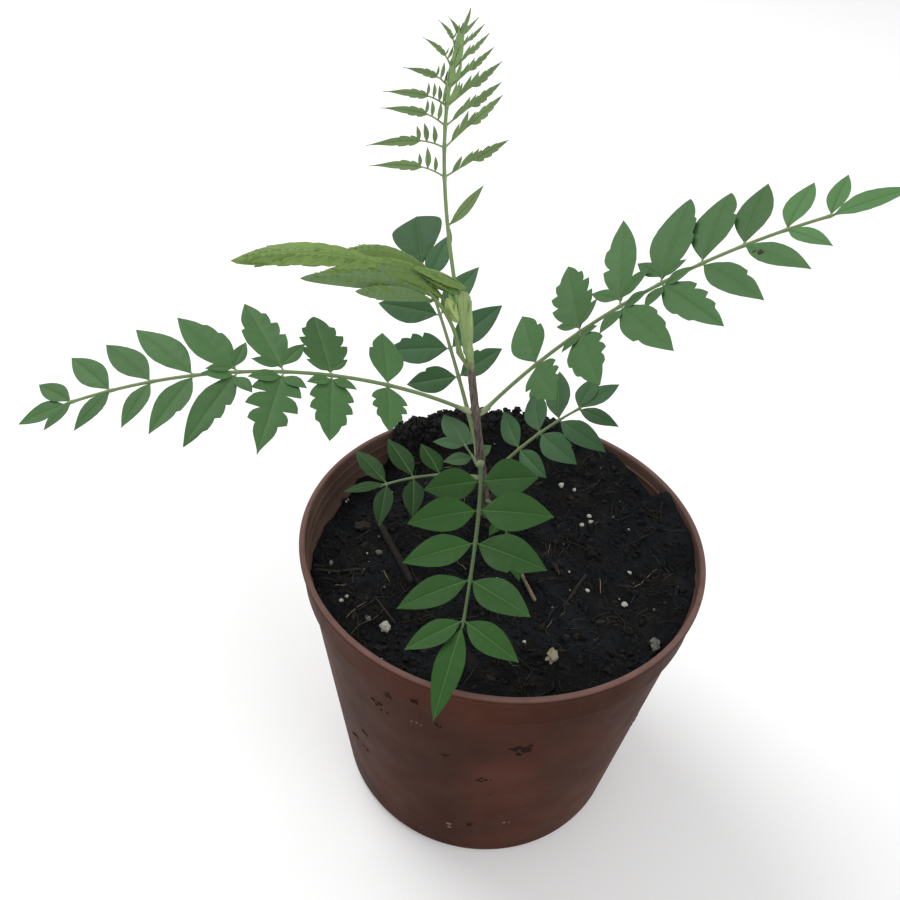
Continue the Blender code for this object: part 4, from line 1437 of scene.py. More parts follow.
def make_leaf(name, look):
    """Make the two pieces of a compound leaf in the place of its solid."""
    leaf = LEAF_NAMED[name]
    maker = LeafMaker(leaf, look)
    maker.grow()
    settle(maker.blades.piece(name + "_leaflets", leaf_palette(leaf, look)), name, name)
    colour = look.stalk
    if leaf.kind == "comb":
        colour = tinted(blended(colour, look.feathery, 0.4), 1.30)
    if leaf.kind == "folded":
        colour = tinted(blended(colour, look.young, 0.5), 1.20)
    # Stalks low on the stem are made darker, and the front leaf's stalk takes the low leaves' green
    # with its painted shade
    if leaf.height < 0.03:
        colour = tinted(colour, 0.80)
    if name == "leaf_front":
        colour = blended(tinted(colour, 0.66), look.shade, 0.50)
    foot = colour if leaf.kind != "plain" else blended(colour, look.foot, 0.85)
    finish = stalk_green(name + "_stalk", colour, stem_centre(leaf.height), foot)
    settle(maker.stalks.piece(name + "_stalks", [finish]), name, name)


# ---- pot ----

def rounded(corners, radius):
    """Return a line of (radius, height) corners with its inner corners rounded."""
    steps = 3
    line = [corners[0]]
    for before, corner, after in zip(corners, corners[1:], corners[2:]):
        here, back, on = Vector(corner), Vector(before), Vector(after)
        reach = min(radius, 0.45 * (back - here).length, 0.45 * (on - here).length)
        start = here + (back - here).normalized() * reach
        end = here + (on - here).normalized() * reach
        for i in range(steps + 1):
            t = i / steps
            line.append(tuple(start.lerp(here, t).lerp(here.lerp(end, t), t)))
    return line + [corners[-1]]


def pot_profile(look):
    """Return the pot's section, from the inner floor up, over the rim and down."""
    inside = [(radius, height) for height, radius in inner_wall_points()]
    ledges = []
    for drop in LEDGE_DROPS:
        height = POT_HEIGHT - drop
        radius = inner_radius(height)
        ledges += [(radius, height - 0.0006), (radius - look.ledge, height - 0.0003),
                   (radius - look.ledge, height + 0.0001), (radius, height + 0.0004)]
    inside = inside[:3] + ledges + inside[3:]
    outside = [
        (RIM_RADIUS - 0.0005, POT_HEIGHT),
        (RIM_RADIUS, POT_HEIGHT - 0.0006),
        (RIM_RADIUS, POT_HEIGHT - 0.0022),
        (RIM_RADIUS - 0.0006, POT_HEIGHT - 0.0030),
        (RIM_RADIUS - COLLAR_DRAFT, COLLAR_FOOT + 0.0006),
        (body_radius(COLLAR_FOOT) + 0.0002, COLLAR_FOOT - 0.0006),
        (body_radius(0.0030), 0.0030),
        (FOOT_RADIUS - 0.0004, 0.0008),
        (FOOT_RADIUS - 0.0014, 0.0),
    ]
    corners = [(0.0, FLOOR), *inside, *outside, *FOOT_RING, (0.0, 0.0)]
    return rounded(corners, PROFILE_ROUNDING)


def make_pot(look):
    """Make the turned pot with its collar, ledges, rubbed rim with a painted highlight, and drain
    holes.
    """
    profile = pot_profile(look)
    rings = []
    for radius, height in profile[1:-1]:
        rings += [polar(radius, turn, height) for turn in turns(look.steps)]
    rings += [Vector((0.0, 0.0, FLOOR)), Vector((0.0, 0.0, 0.0))]
    faces = tube_faces(len(profile) - 2, look.steps, flip=True)
    pot = made_of(rings, faces, "pot_wall", pot_plastic(look), 35)
    drill_drain_holes(pot)
    settle(pot, "pot", "pot")


def drill_drain_holes(pot):
    """Cut the ring of drain holes through the floor and apply the cut."""
    work = bmesh.new()
    for i in range(DRAIN_HOLES):
        spot = polar(1.0, tau * (i + 0.5) / DRAIN_HOLES, 0.0) * DRAIN_CIRCLE
        spot.z = 0.5 * FLOOR
        bmesh.ops.create_cone(work, cap_ends=True, segments=32, radius1=DRAIN_RADIUS,
                              radius2=DRAIN_RADIUS, depth=3.0 * FLOOR,
                              matrix=Matrix.Translation(spot))
    mesh = bpy.data.meshes.new("drill")
    work.to_mesh(mesh)
    work.free()
    drill = linked("drill", mesh)
    cut = pot.modifiers.new("drain holes", 'BOOLEAN')
    cut.operation, cut.solver, cut.object = 'DIFFERENCE', 'EXACT', drill
    graph = bpy.context.evaluated_depsgraph_get()
    cut_mesh = bpy.data.meshes.new_from_object(pot.evaluated_get(graph))
    pot.modifiers.clear()
    pot.data = cut_mesh
    bpy.data.objects.remove(drill, do_unlink=True)


# Splashes as (heading, height, size, finish): 0 is soil and 1 is a pale fleck
POT_SPLASHES = (
    (239.0, 0.0989, 0.0012, 0), (235.3, 0.0881, 0.0021, 0), (247.9, 0.1050, 0.0011, 0),
    (254.3, 0.0938, 0.0010, 0), (216.5, 0.0443, 0.0014, 0), (225.1, 0.0573, 0.0011, 0),
    (224.0, 0.0438, 0.0012, 0), (275.3, 0.0862, 0.0019, 0), (278.0, 0.0856, 0.0025, 0),
    (268.2, 0.0623, 0.0013, 0), (265.8, 0.0250, 0.0013, 0), (256.5, 0.0752, 0.0010, 0),
    (247.5, 0.0908, 0.0013, 1), (278.9, 0.0277, 0.0010, 1), (258.0, 0.0215, 0.0016, 1),
    (40.0, 0.0700, 0.0018, 0), (75.0, 0.0920, 0.0014, 0), (118.0, 0.0480, 0.0016, 0),
    (150.0, 0.0850, 0.0012, 0), (331.0, 0.0560, 0.0015, 0), (5.0, 0.0340, 0.0012, 0),
)
WALL_SLANT = 7.0
SPLASH_BITS = (9, 4)


def add_splash(gathering, spot, outward, size, dice, finish):
    """Add a small dried splash: a flat lens with a ragged edge."""
    level = Vector((-outward.y, outward.x, 0.0)).normalized()
    upright = outward.cross(level)
    count = 11
    points = [spot + outward * (0.12 * size + 0.00006), spot - outward * 0.0001]
    points += [spot + swung(level, upright, turn) * (size * dice.uniform(0.55, 1.0))
               for turn in turns(count)]
    faces = []
    for j in range(count):
        near, far = 2 + j, 2 + (j + 1) % count
        faces += [(0, near, far), (1, far, near)]
    gathering.add(points, faces, finish)


def make_splashes(look):
    """Put the splashes of soil and the pale flecks on the pot's wall."""
    dice = random.Random("splashes")
    splashes = Gathering()
    for heading, height, size, finish in POT_SPLASHES:
        for i in range(SPLASH_BITS[finish]):
            turn = heading + degrees(dice.gauss(0.0, 0.75) * size / RIM_RADIUS)
            level = height + dice.gauss(0.0, 0.65) * size
            outward = direction(turn, 0.0)
            spot = outward * (body_radius(level) + 0.0001 + 0.0002 * level / POT_HEIGHT)
            if level > COLLAR_FOOT:
                spot = outward * (RIM_RADIUS - COLLAR_DRAFT * (POT_HEIGHT - level) / COLLAR_HEIGHT)
            spot.z = level
            add_splash(splashes, spot, direction(turn, -WALL_SLANT), size * dice.uniform(0.25, 0.70),
                       dice, finish)
    # The pale flecks borrow the rim's colour
    finishes = [litter_finish("splash_soil", look.dirt, 0.5, gloss=0.02),
                litter_finish("splash_pale", look.worn, 0.3)]
    settle(splashes.piece("pot_splashes", finishes, 60), "pot")


# ---- soil ----

SOIL_RINGS = 105
SOIL_STEPS = 210

# Loose soil against the wall, as (heading, height above the rim)
WALL_PILES = (
    (-42, -0.0100), (-30, -0.0065), (-20, -0.0048), (-8, -0.0043), (0, -0.0035), (7, -0.0022),
    (14, -0.0028), (20, -0.0010), (24, 0.0000), (27, -0.0050), (30, -0.0082), (37, -0.0067),
    (43, -0.0047), (48, -0.0028), (57, -0.0008), (63, 0.0016), (126, 0.0016), (129, 0.0010),
    (131.5, -0.0120), (138, -0.0150), (146, -0.0130), (152, -0.0155), (160, -0.0180),
)
PILE_FROM = 0.049
PILE_TO = 0.0665

# Loose crumbs: their usual and largest size, and the sector of those along the back
CRUMB_SIZES = (0.00032, 0.0013)
BACK_CRUMBS = 620
BACK_CRUMB_SIZES = (0.00050, 0.0017)
BACK_CRUMB_HEADINGS = (61.0, 129.0)
BACK_CRUMB_RADII = (0.0590, 0.0690)

# Least and most sizes of the scattered litter
FIBRE_RADII = (0.00006, 0.00017)
FIBRE_LENGTH = 0.0035
FIBRE_EXTRA_LENGTH = 0.0105
CHIP_SIZES = (0.0006, 0.0019)
LARGE_GRAIN_SIZES = (0.0018, 0.0021)
WHITE_GRAIN_SIZES = (0.0006, 0.0012)
GREY_GRAIN_SIZES = (0.0009, 0.0013)
SMALL_GRAIN_SIZES = (0.00020, 0.00048)

# Places of the litter that the photograph shows; large grains have their finish too
WHITE_GRAINS = (
    (-0.0532, -0.0246), (-0.0515, -0.0227), (-0.0601, 0.0278), (-0.0463, 0.0363),
    (0.0237, 0.0377), (0.0285, 0.0345), (0.0305, 0.0177), (0.0339, 0.0189), (0.0334, 0.0221),
    (0.0422, -0.0206), (0.0452, -0.0057), (0.0298, -0.0155), (0.0175, -0.0442),
    (0.0078, -0.0391), (0.0038, -0.0276),
)
LARGE_GRAINS = ((-0.0374, -0.0354, 0), (0.0164, -0.0448, 2), (0.0495, -0.0388, 1))
GREY_GRAINS = ((-0.0434, -0.0315), (-0.0429, -0.0004), (-0.0592, -0.0066))
BARK_CHUNK = (-0.0505, 0.0125)
BARK_CHUNK_SIZES = (0.0029, 0.0019, 0.0012)

# The stick, a twig, the straw, a fibre and a dark twig: three places, radius, finish, sides
LONG_PIECES = (
    (((-0.0436, 0.0130), (-0.0367, -0.0022), (-0.0305, -0.0155)), 0.0013, 4, 12),
    (((-0.0641, -0.0113), (-0.0555, -0.0108), (-0.0478, -0.0103)), 0.0004, 2, 6),
    (((0.0071, -0.0088), (0.0097, -0.0152), (0.0119, -0.0210)), 0.0007, 3, 6),
    (((-0.0419, -0.0235), (-0.0380, -0.0286), (-0.0342, -0.0339)), 0.0004, 2, 6),
    (((0.0300, -0.0080), (0.0256, -0.0160), (0.0209, -0.0242)), 0.0006, 4, 8),
)


def edge_height(x, y):
    """Return how high loose soil is piled against the wall on the side of a point."""
    heading = degrees(atan2(y, x))
    for (start, low), (stop, high) in zip(WALL_PILES, WALL_PILES[1:]):
        if start <= heading <= stop:
            return POT_HEIGHT + low + (high - low) * (heading - start) / (stop - start)
    return 0.0


def heaped_height(x, y):
    """Return the soil's height with the loose soil that is piled against the wall."""
    lie = soil_height(x, y)
    pile = smooth_step(hypot(x, y), PILE_FROM, PILE_TO)
    return lie + max(0.0, edge_height(x, y) - lie) * pile


def soil_surface(x, y, look):
    """Return the height of the lumpy soil at a point."""
    away = hypot(x - STEM_FOOT.x, y - STEM_FOOT.y)
    rough = limited((away - 0.003) / 0.006, 0.15)
    spot = Vector((x, y, 0.0))
    lumps = noise.fractal(spot * 210.0, 0.9, 2.1, 3)
    grain = noise.noise(spot * 900.0 + Vector((3.0, 1.0, 7.0)))
    clods = noise.noise(spot * 75.0 + Vector((11.0, 5.0, 2.0)))
    relief = look.lump * (0.55 * lumps + 0.6 * clods) + look.grain * grain
    return heaped_height(x, y) + rough * relief


def make_soil(look):
    """Make the bed of soil: a lumpy surface that fills the pot below it."""
    points = []
    for i in range(1, SOIL_RINGS + 1):
        for turn in turns(SOIL_STEPS):
            x, y = cos(turn), sin(turn)
            edge = heaped_height(x * RIM_RADIUS * 0.96, y * RIM_RADIUS * 0.96)
            reach = (inner_radius(edge) - GAP) * i / SOIL_RINGS
            height = soil_surface(x * reach, y * reach, look)
            reach = min(reach, inner_radius(min(height, POT_HEIGHT)) - GAP)
            points.append(polar(reach, turn, height))
    edge = points[-SOIL_STEPS:]
    shoulder, step = (height for height, radius in inner_wall_points()[1:3])
    low = FLOOR + GAP
    for heights in ([min(step, above.z - 0.002) for above in edge],
                    [min(shoulder, above.z - 0.004) for above in edge],
                    [low] * SOIL_STEPS):
        points += [polar(inner_radius(height) - GAP, turn, height)
                   for turn, height in zip(turns(SOIL_STEPS), heights)]
    points += [Vector((0.0, 0.0, soil_surface(0.0, 0.0, look))), Vector((0.0, 0.0, low))]
    faces = tube_faces(SOIL_RINGS + 3, SOIL_STEPS, flip=True)
    settle(made_of(points, faces, "soil_bed", moist_soil(look), 75), "soil", "soil")


def on_soil(x, y, look, lift):
    """Return a point a little over the soil, kept inside the pot's wall."""
    away = hypot(x, y)
    limit = inner_radius(min(heaped_height(x, y), POT_HEIGHT)) - 0.0012
    if away > limit:
        x, y = x * limit / away, y * limit / away
    return Vector((x, y, soil_surface(x, y, look) + lift))


def scattered(dice, reach=0.0655):
    """Return a random place on the soil, clear of the stem."""
    while True:
        x, y = dice.uniform(-reach, reach), dice.uniform(-reach, reach)
        if hypot(x, y) < reach and hypot(x - STEM_FOOT.x, y - STEM_FOOT.y) > 0.004:
            return x, y


def make_crumbs(look):
    """Scatter the loose crumbs of soil, thicker where the heap meets the rim."""
    dice = random.Random("crumbs")
    tiny, small = lump_template(1), lump_template(2)
    crumbs = Gathering()
    for i in range(look.crumbs):
        x, y = scattered(dice)
        size = min(CRUMB_SIZES[1], CRUMB_SIZES[0] * exp(dice.gauss(0.35, 0.45)))
        template = small if size > 0.0008 else tiny
        sizes = [size * dice.uniform(0.7, 1.3) for axis in range(3)]
        add_lump(crumbs, template, on_soil(x, y, look, size * 0.25), sizes, dice, 0.7,
                 dice.choice((0, 0, 0, 1)))
    for i in range(BACK_CRUMBS):
        turn = radians(dice.uniform(*BACK_CRUMB_HEADINGS))
        away = dice.uniform(*BACK_CRUMB_RADII)
        size = min(BACK_CRUMB_SIZES[1], BACK_CRUMB_SIZES[0] * exp(dice.gauss(0.4, 0.4)))
        sizes = [size * dice.uniform(0.7, 1.3) for axis in range(3)]
        spot = polar(away, turn, 0.0)
        spot.z = soil_surface(spot.x, spot.y, look) + size * dice.uniform(-0.3, 0.4)
        if away > RIM_RADIUS - RIM_LAND:
            spot.z = max(spot.z, POT_HEIGHT + size * 0.2)
        add_lump(crumbs, small, spot, sizes, dice, 0.8, dice.choice((0, 0, 1)))
    finishes = [litter_finish("crumb_black", look.peat, 0.6),
                litter_finish("crumb_brown", look.humus, 0.6)]
    settle(crumbs.piece("soil_crumbs", finishes, 60), "soil")


def add_fibre(gathering, start, heading, length, radius, look, dice, finish):
    """Lay one thin bent fibre on the soil."""
    steps = 6
    path = []
    x, y = start
    for i in range(steps + 1):
        path.append(on_soil(x, y, look, radius * 0.8 + dice.uniform(0.0, 0.0005)))
        heading += dice.uniform(-0.35, 0.35)
        x += cos(heading) * length / steps
        y += sin(heading) * length / steps
    radii = [radius * (0.45 + 0.55 * sin(pi * (i + 0.8) / (steps + 1.6)))
             for i in range(steps + 1)]
    add_tube(gathering, path, radii, 5, finish)


def make_fibres(look):
    """Lay the fibres, the stick, the twigs and the straw on the soil."""
    dice = random.Random("fibres")
    fibres = Gathering()
    for i in range(look.fibres):
        finish = 3 if i % 45 == 0 else dice.choice((0, 0, 0, 1, 2))
        radius = dice.uniform(*FIBRE_RADII)
        length = FIBRE_LENGTH + FIBRE_EXTRA_LENGTH * dice.random() ** 2
        add_fibre(fibres, scattered(dice, 0.0635), dice.uniform(0.0, FULL_TURN), length, radius,
                  look, dice, finish)
    for piece in LONG_PIECES:
        lay_piece(fibres, *piece)
    finishes = [
        litter_finish("fibre_dark", blended(look.humus, look.bark, 0.3)),
        litter_finish("fibre_grey", GREY_FIBRE),
        litter_finish("fibre_olive", OLIVE_FIBRE),
        litter_finish("fibre_straw", tinted(look.straw, 2.1)),
        litter_finish("stick_bark", blended(look.bark, look.humus, 0.35), 0.6, 260.0),
    ]
    settle(fibres.piece("soil_fibres", finishes, 60), "soil")


def lay_piece(gathering, places, radius, finish, sides):
    """Lay one longer stick or straw through three places on the soil."""
    start, middle, end = (Vector(place) for place in places)
    path, radii = [], []
    steps = 14
    for i in range(steps + 1):
        t = i / steps
        flat = start.lerp(middle, t).lerp(middle.lerp(end, t), t)
        path.append(Vector((flat.x, flat.y, soil_height(flat.x, flat.y) + radius * 0.9)))
        knob = 1.0 + 0.16 * noise.noise(Vector((i * 0.9, radius * 9000.0, 2.0)))
        radii.append(radius * knob * (0.75 if i in (0, steps) else 1.0))
    add_tube(gathering, path, radii, sides, finish)


def make_chips(look):
    """Scatter the bark chips, with the large chunk at the left."""
    dice = random.Random("chips")
    template = lump_template(2)
    chips = Gathering()
    for i in range(look.chips):
        x, y = scattered(dice, 0.063)
        size = dice.uniform(*CHIP_SIZES)
        sizes = (size * dice.uniform(1.0, 1.8), size * dice.uniform(0.4, 0.8), size * 0.30)
        add_lump(chips, template, on_soil(x, y, look, size * 0.15), sizes, dice, 0.5,
                 dice.choice((0, 1, 1)))
    spot = on_soil(*BARK_CHUNK, look, 0.0006)
    add_lump(chips, lump_template(3), spot, BARK_CHUNK_SIZES, dice, 0.6, 1)
    finishes = [litter_finish("chip_dark", blended(look.bark, look.humus, 0.6)),
                litter_finish("chip_brown", blended(look.bark, look.humus, 0.2))]
    settle(chips.piece("soil_chips", finishes, 45), "soil")


def make_grains(look):
    """Lay the white and grey grains of expanded rock on the soil."""
    dice = random.Random("white grains")
    template, round_template = lump_template(2), lump_template(3)
    grains = Gathering()

    def lay(form, place, size, lift, shape, roughness, finish):
        sizes = [size * share for share in shape]
        add_lump(grains, form, on_soil(*place, look, size * lift), sizes, dice, roughness, finish)

    for x, y, finish in LARGE_GRAINS:
        lay(round_template, (x, y), dice.uniform(*LARGE_GRAIN_SIZES), 0.3,
            (1.3 if finish else 1.0, 0.85, 0.70), 0.7, finish)
    for place in WHITE_GRAINS:
        lay(template, place, dice.uniform(*WHITE_GRAIN_SIZES), 0.4, (1.0, 0.9, 0.8), 0.5, 0)
    for place in GREY_GRAINS:
        lay(template, place, dice.uniform(*GREY_GRAIN_SIZES), 0.3, (1.0, 0.8, 0.6), 0.5, 1)
    for i in range(look.grains):
        size = dice.uniform(*SMALL_GRAIN_SIZES)
        lay(template, scattered(dice, 0.062), size, 0.3, (1.0, 1.0, 1.0), 0.5,
            dice.choice((0, 1, 1)))
    finishes = [litter_finish("grain_white", look.white, 0.22, 700.0, 0.9),
                litter_finish("grain_grey", tinted(look.white, 0.30), 0.30, 700.0, 0.9),
                litter_finish("grain_cream", CREAM_GRAIN, 0.40, 500.0, 0.9)]
    settle(grains.piece("soil_grains", finishes, 60), "soil")


# ---- stem and bud ----

STEM_SLENDER = 0.82
STEM_ROWS = 230
STEM_SIDES = 36
STEM_SEAT = 0.0012
PORES = 46
PORE_WIDTH = 0.16
PORE_LENGTH = 0.00032
SCAR_WIDTH = 0.55
SCAR_LENGTH = 0.0013
SCAR_DROP = 0.0004
SCAR_RELIEF = 0.00042
NUB_HEIGHT = 0.0655
NUB_HEADING = 186.0
NUB_WIDTH = 0.45
NUB_LENGTH = 0.0008
NUB_RELIEF = 0.0008
PLEATS = 5.0
PLEATS_START = 0.072
PLEAT_DEPTH = 0.00022

# Folds of the bud as (turn, size, lean) and of the shoot as (turn, height, size, lean)
BUD_FOLDS = ((20.0, 0.0084, 9.0), (140.0, 0.0076, 8.0), (255.0, 0.0090, 11.0))
SHOOT_FOLDS = ((-42.0, 0.0725, 0.0185, 5.0), (70.0, 0.0735, 0.0175, 5.0),
               (165.0, 0.0745, 0.0120, 7.0))


def stem_relief(height, turn, look, pores):
    """Return how far the bark stands out at a height and a turn round the stem."""
    x, y = cos(turn), sin(turn)
    woody = limited((look.change + 0.004 - height) / 0.006)
    furrow = noise.fractal(Vector((x * 3.2, y * 3.2, height * 140.0)), 0.8, 2.0, 4)
    relief = look.furrow * furrow * woody
    for pore_height, pore_turn in pores:
        if abs(height - pore_height) < 0.0012:
            away = remainder(turn - pore_turn, tau)
            near = bell(away, PORE_WIDTH, height - pore_height, PORE_LENGTH)
            relief += look.pore * near * woody
    for leaf in LEAVES:
        away = remainder(turn - radians(leaf.heading), tau)
        rise = height - leaf.height + SCAR_DROP
        relief += SCAR_RELIEF * bell(away, SCAR_WIDTH, rise, SCAR_LENGTH)
    away = remainder(turn - radians(NUB_HEADING), tau)
    relief += NUB_RELIEF * bell(away, NUB_WIDTH, height - NUB_HEIGHT, NUB_LENGTH)
    pleat = limited((height - PLEATS_START) / 0.006)
    relief += PLEAT_DEPTH * pleat * cos(PLEATS * turn + height * 60.0)
    return relief


def make_stem(look):
    """Make the stem with its bark relief, leaf scars, nub and pleated green tip."""
    dice = random.Random("pores")
    pores = [(dice.uniform(0.003, 0.066), dice.uniform(0.0, FULL_TURN)) for i in range(PORES)]
    heights = [(STEM_LENGTH + STEM_SEAT) * i / STEM_ROWS - STEM_SEAT for i in range(STEM_ROWS + 1)]
    points = []
    for height in heights:
        closing = sqrt(1.0 - into_dome(height) ** 2)
        slender = STEM_SLENDER + (1.04 - STEM_SLENDER) * smooth_step(height, 0.070, 0.079)
        for turn in turns(STEM_SIDES):
            radius = stem_radius(height) * slender + stem_relief(height, turn, look, pores)
            radius *= 0.06 + 0.94 * closing
            points.append(stem_centre(height) + polar(1.0, turn, 0.0) * radius)
    points += [stem_centre(heights[0]), stem_centre(STEM_LENGTH)]
    faces = tube_faces(len(heights), STEM_SIDES)
    settle(made_of(points, faces, "stem_bark", young_bark(look), 60), "stem", "stem")


def make_bud(look, leaf_look):
    """Make the folded bud and the young leaves that clasp the shoot."""
    dice = random.Random("bud")
    folds = Gathering()
    out = direction(BUD_HEADING, BUD_PITCH)
    sideways = direction(BUD_HEADING, 0.0)
    seat = stem_radius(BUD_HEIGHT) + BUD_RADIUS * 0.25
    foot = stem_centre(BUD_HEIGHT) + sideways * seat - out * 0.0012
    along, across, face = leaflet_frame(out, sideways)
    rows, sides = 30, 30
    points = []
    for i in range(rows + 1):
        share = i / rows
        full = sin(pi * min(1.0, share * 1.02) ** 0.80) ** 0.70 if 0 < i < rows else 0.02
        for turn in turns(sides):
            pleat = 1.0 + 0.13 * cos(PLEATS * turn + 2.4 * share) * full
            radius = BUD_RADIUS * BUD_FULLNESS * full * pleat
            sway = across * (0.0005 * sin(3.0 * share))
            points.append(foot + along * (share * (BUD_LENGTH + 0.0006)) + sway
                          + (across * sin(turn) - face * cos(turn)) * radius)
    folds.add(points, ring_faces(rows + 1, sides))
    for turn, size, lean in BUD_FOLDS:
        spin = Matrix.Rotation(radians(turn), 3, along)
        outer = spin @ face
        heading = (along + outer * sin(radians(lean))).normalized()
        blade = Blade(size, 0.38, cup=-0.75, curl=-0.10, rows=16, columns=3, veins=4,
                      begin=0.02, pillow=2.0)
        add_blade(folds, foot + outer * 0.0010, heading, outer, blade, leaf_look, dice, BUD_FOLD)
    axis = Vector((-STEM_LEAN, 0.0, 1.0)).normalized()
    for turn, height, size, lean in SHOOT_FOLDS:
        outer = direction(turn, 0.0)
        heading = (axis + outer * sin(radians(lean))).normalized()
        blade = Blade(size, 0.16, cup=-0.80, curl=-0.05, rows=22, columns=3, veins=8,
                      begin=0.02, pillow=2.0)
        root = stem_centre(height) + outer * (stem_radius(height) * 0.75)
        add_blade(folds, root, heading, outer, blade, leaf_look, dice, SHOOT_FOLD)
    shades = (("bud_pale", look.bud), ("bud_fold", tinted(look.bud, 0.86)),
              ("shoot_fold", look.shoot), ("bud_underside", tinted(look.bud, 1.12)),
              ("bud_rib", tinted(look.bud, 1.25)), ("bud_tip", tinted(look.bud, 0.8)))
    finishes = [leaf_green(*shade) for shade in shades]
    settle(folds.piece("bud_folds", finishes), "tip_bud", "tip_bud")


# ---- stage ----

STAGE_LEVEL = -0.0002
STAGE_RINGS = (0.12, 0.4, 1.2, 4.0)


def camera_matrix(look):
    """Return the camera's placement from its spot, pitch and roll."""
    pitch = radians(look.pitch)
    roll = radians(look.roll)
    ahead = Vector((0.0, cos(pitch), -sin(pitch)))
    level = Vector((1.0, 0.0, 0.0))
    up = level.cross(ahead)
    turn = Matrix((swung(level, up, roll), swung(up, level, -roll), -ahead)).transposed().to_4x4()
    return Matrix.Translation(Vector(look.camera)) @ turn


def add_area_light(name, spot, aim, size, power):
    """Add a large soft light that looks at a point."""
    light = bpy.data.lights.new(name, 'AREA')
    light.shape = 'DISK'
    light.size = size
    light.energy = power
    lamp = linked(name, light)
    lamp.location = spot
    lamp.rotation_euler = (Vector(aim) - Vector(spot)).to_track_quat('-Z', 'Y').to_euler()


def make_stage(look):
    """Make the pale floor, the soft studio light and the camera."""
    scene = bpy.context.scene
    steps = 96
    points = [Vector((0.0, 0.0, STAGE_LEVEL))]
    for radius in STAGE_RINGS:
        points += [polar(radius, turn, STAGE_LEVEL) for turn in turns(steps)]
    faces = [(0, 1 + j, 1 + (j + 1) % steps) for j in range(steps)]
    faces += [tuple(1 + i for i in face[::-1]) for face in ring_faces(len(STAGE_RINGS), steps)]
    floor = made_of(points, faces, "stage_floor", pale_floor(look))
    world = bpy.data.worlds.new("even light")
    world.use_nodes = True
    background = world.node_tree.nodes["Background"]
    background.inputs["Color"].default_value = (1.0, 1.0, 1.0, 1.0)
    background.inputs["Strength"].default_value = look.sky
    scene.world = world
    centre = (0.0, 0.0, 0.12)
    add_area_light("key light", (-1.1, 0.9, 1.78), centre, 1.4, look.key)
    add_area_light("fill light", (1.4, -1.1, 1.38), centre, 1.8, look.key * 0.45)
    scene.view_settings.view_transform = 'Standard'
    lens = bpy.data.cameras.new("camera")
    lens.sensor_width = 36.0
    lens.lens = look.lens
    lens.clip_start = 0.01
    camera = linked("camera", lens)
    camera.matrix_world = camera_matrix(look)
    scene.camera = camera


# ---- operators ----

def finished(*names):
    """Return the finished state, or raise an error where a piece is missing."""
    missing = [name for name in names if name not in bpy.data.objects]
    if missing:
        raise RuntimeError("not made: " + ", ".join(missing))
    return {'FINISHED'}


def grown(context, *names):
    """Grow leaves by their names and return the finished state."""
    for name in names:
        make_leaf(name, context.scene.jacaranda_leaf)
    return finished(*(name + "_leaflets" for name in names))


class JACARANDA_OT_stage(bpy.types.Operator):
    """Make the floor, the lights and the camera"""

    bl_idname = "jacaranda.make_stage"
    bl_label = "Stage"

    def execute(self, context):
        make_stage(context.scene.jacaranda_stage)
        return finished("stage_floor", "camera")


class JACARANDA_OT_pot(bpy.types.Operator):
    """Make the moulded pot"""

    bl_idname = "jacaranda.make_pot"
    bl_label = "Pot"

    def execute(self, context):
        make_pot(context.scene.jacaranda_pot)
        make_splashes(context.scene.jacaranda_pot)
        return finished("pot_wall", "pot_splashes")


class JACARANDA_OT_soil(bpy.types.Operator):
    """Make the bed of soil"""

    bl_idname = "jacaranda.make_soil"
    bl_label = "Soil"

    def execute(self, context):
        make_soil(context.scene.jacaranda_soil)
        return finished("soil_bed")


class JACARANDA_OT_litter(bpy.types.Operator):
    """Scatter the crumbs, fibres, chips and white grains on the soil"""

    bl_idname = "jacaranda.make_litter"
    bl_label = "Litter"

    def execute(self, context):
        look = context.scene.jacaranda_soil
        make_crumbs(look)
        make_fibres(look)
        make_chips(look)
        make_grains(look)
        return finished("soil_crumbs", "soil_fibres", "soil_chips", "soil_grains")


class JACARANDA_OT_stem(bpy.types.Operator):
    """Make the stem with its bark and its green tip"""

    bl_idname = "jacaranda.make_stem"
    bl_label = "Stem"

    def execute(self, context):
        make_stem(context.scene.jacaranda_stem)
        return finished("stem_bark")


class JACARANDA_OT_bud(bpy.types.Operator):
    """Make the folded bud and the young folds round the shoot"""

    bl_idname = "jacaranda.make_bud"
    bl_label = "Bud"

    def execute(self, context):
        make_bud(context.scene.jacaranda_stem, context.scene.jacaranda_leaf)
        return finished("bud_folds")


class JACARANDA_OT_side_leaves(bpy.types.Operator):
    """Grow the two long side leaves"""

    bl_idname = "jacaranda.grow_side_leaves"
    bl_label = "Side leaves"

    def execute(self, context):
        return grown(context, "leaf_left", "leaf_right")


class JACARANDA_OT_low_leaves(bpy.types.Operator):
    """Grow the leaves low on the stem"""

    bl_idname = "jacaranda.grow_low_leaves"
    bl_label = "Low leaves"

    def execute(self, context):
        return grown(context, "leaf_front", "leaf_back", "leaf_lower_left", "leaf_lower_right",
                     "leaf_small_back", "leaf_small_front")


class JACARANDA_OT_tall_leaf(bpy.types.Operator):
    """Grow the upright feathery leaf"""

    bl_idname = "jacaranda.grow_tall_leaf"
    bl_label = "Tall leaf"

    def execute(self, context):
        return grown(context, "leaf_tall")


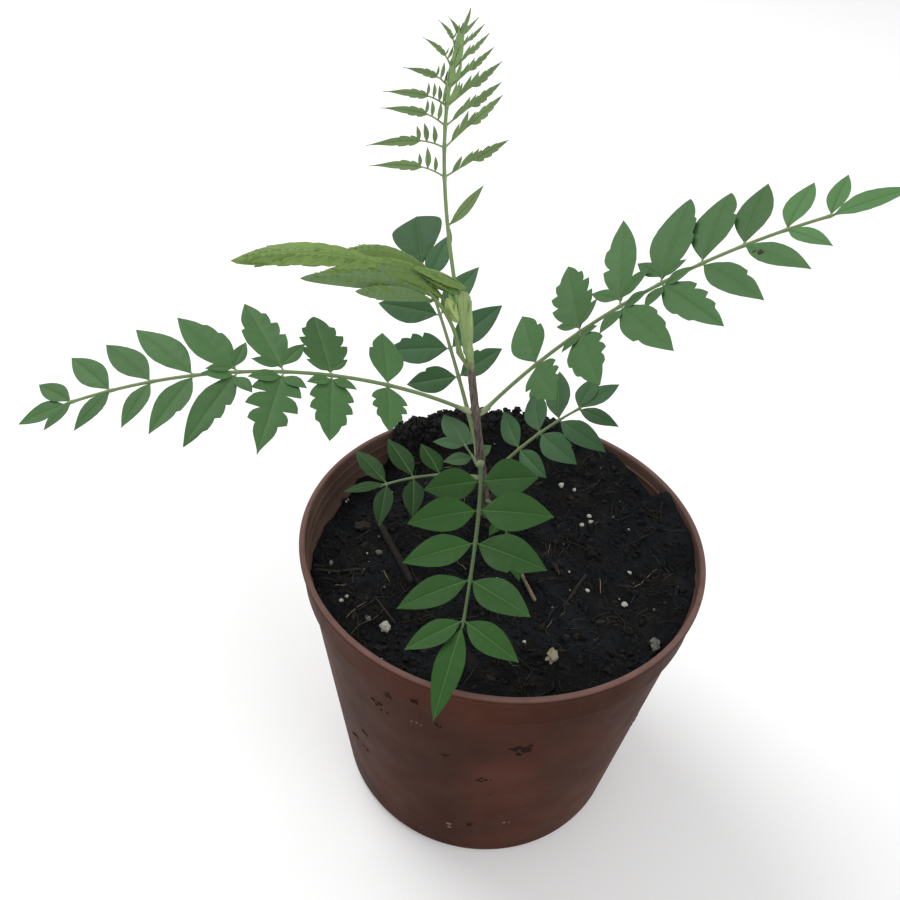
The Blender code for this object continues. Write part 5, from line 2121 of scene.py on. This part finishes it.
class JACARANDA_OT_young_leaf(bpy.types.Operator):
    """Grow the pale young leaf that arches to the left"""

    bl_idname = "jacaranda.grow_young_leaf"
    bl_label = "Young leaf"

    def execute(self, context):
        return grown(context, "leaf_young")


OPERATORS = (JACARANDA_OT_stage, JACARANDA_OT_pot, JACARANDA_OT_soil, JACARANDA_OT_litter,
             JACARANDA_OT_stem, JACARANDA_OT_bud, JACARANDA_OT_side_leaves,
             JACARANDA_OT_low_leaves, JACARANDA_OT_tall_leaf, JACARANDA_OT_young_leaf)
LOOKS = {"jacaranda_pot": PotLook, "jacaranda_soil": SoilLook, "jacaranda_stem": StemLook,
         "jacaranda_leaf": LeafLook, "jacaranda_stage": StageLook}


class JACARANDA_PT_panel(bpy.types.Panel):
    """Lists the plant's parts"""

    bl_idname = "JACARANDA_PT_panel"
    bl_label = "Potted jacaranda"
    bl_space_type = 'VIEW_3D'
    bl_region_type = 'UI'
    bl_category = "Jacaranda"

    def draw(self, context):
        column = self.layout.column(align=True)
        for operator in OPERATORS:
            column.operator(operator.bl_idname)


def register():
    """Register the classes and hang the looks on the scene."""
    for look in LOOKS.values():
        bpy.utils.register_class(look)
    for name, look in LOOKS.items():
        setattr(bpy.types.Scene, name, bpy.props.PointerProperty(type=look))
    for kind in OPERATORS + (JACARANDA_PT_panel,):
        bpy.utils.register_class(kind)


def unregister():
    """Take the classes and the looks away again."""
    for kind in reversed(OPERATORS + (JACARANDA_PT_panel,)):
        bpy.utils.unregister_class(kind)
    for name in LOOKS:
        delattr(bpy.types.Scene, name)
    for look in LOOKS.values():
        bpy.utils.unregister_class(look)


def main():
    """Make the stage and every part of the plant."""
    register()
    bpy.ops.jacaranda.make_stage()
    bpy.ops.jacaranda.make_pot()
    bpy.ops.jacaranda.make_soil()
    bpy.ops.jacaranda.make_litter()
    bpy.ops.jacaranda.make_stem()
    bpy.ops.jacaranda.make_bud()
    bpy.ops.jacaranda.grow_side_leaves()
    bpy.ops.jacaranda.grow_low_leaves()
    bpy.ops.jacaranda.grow_tall_leaf()
    bpy.ops.jacaranda.grow_young_leaf()


if __name__ == "__main__":
    main()
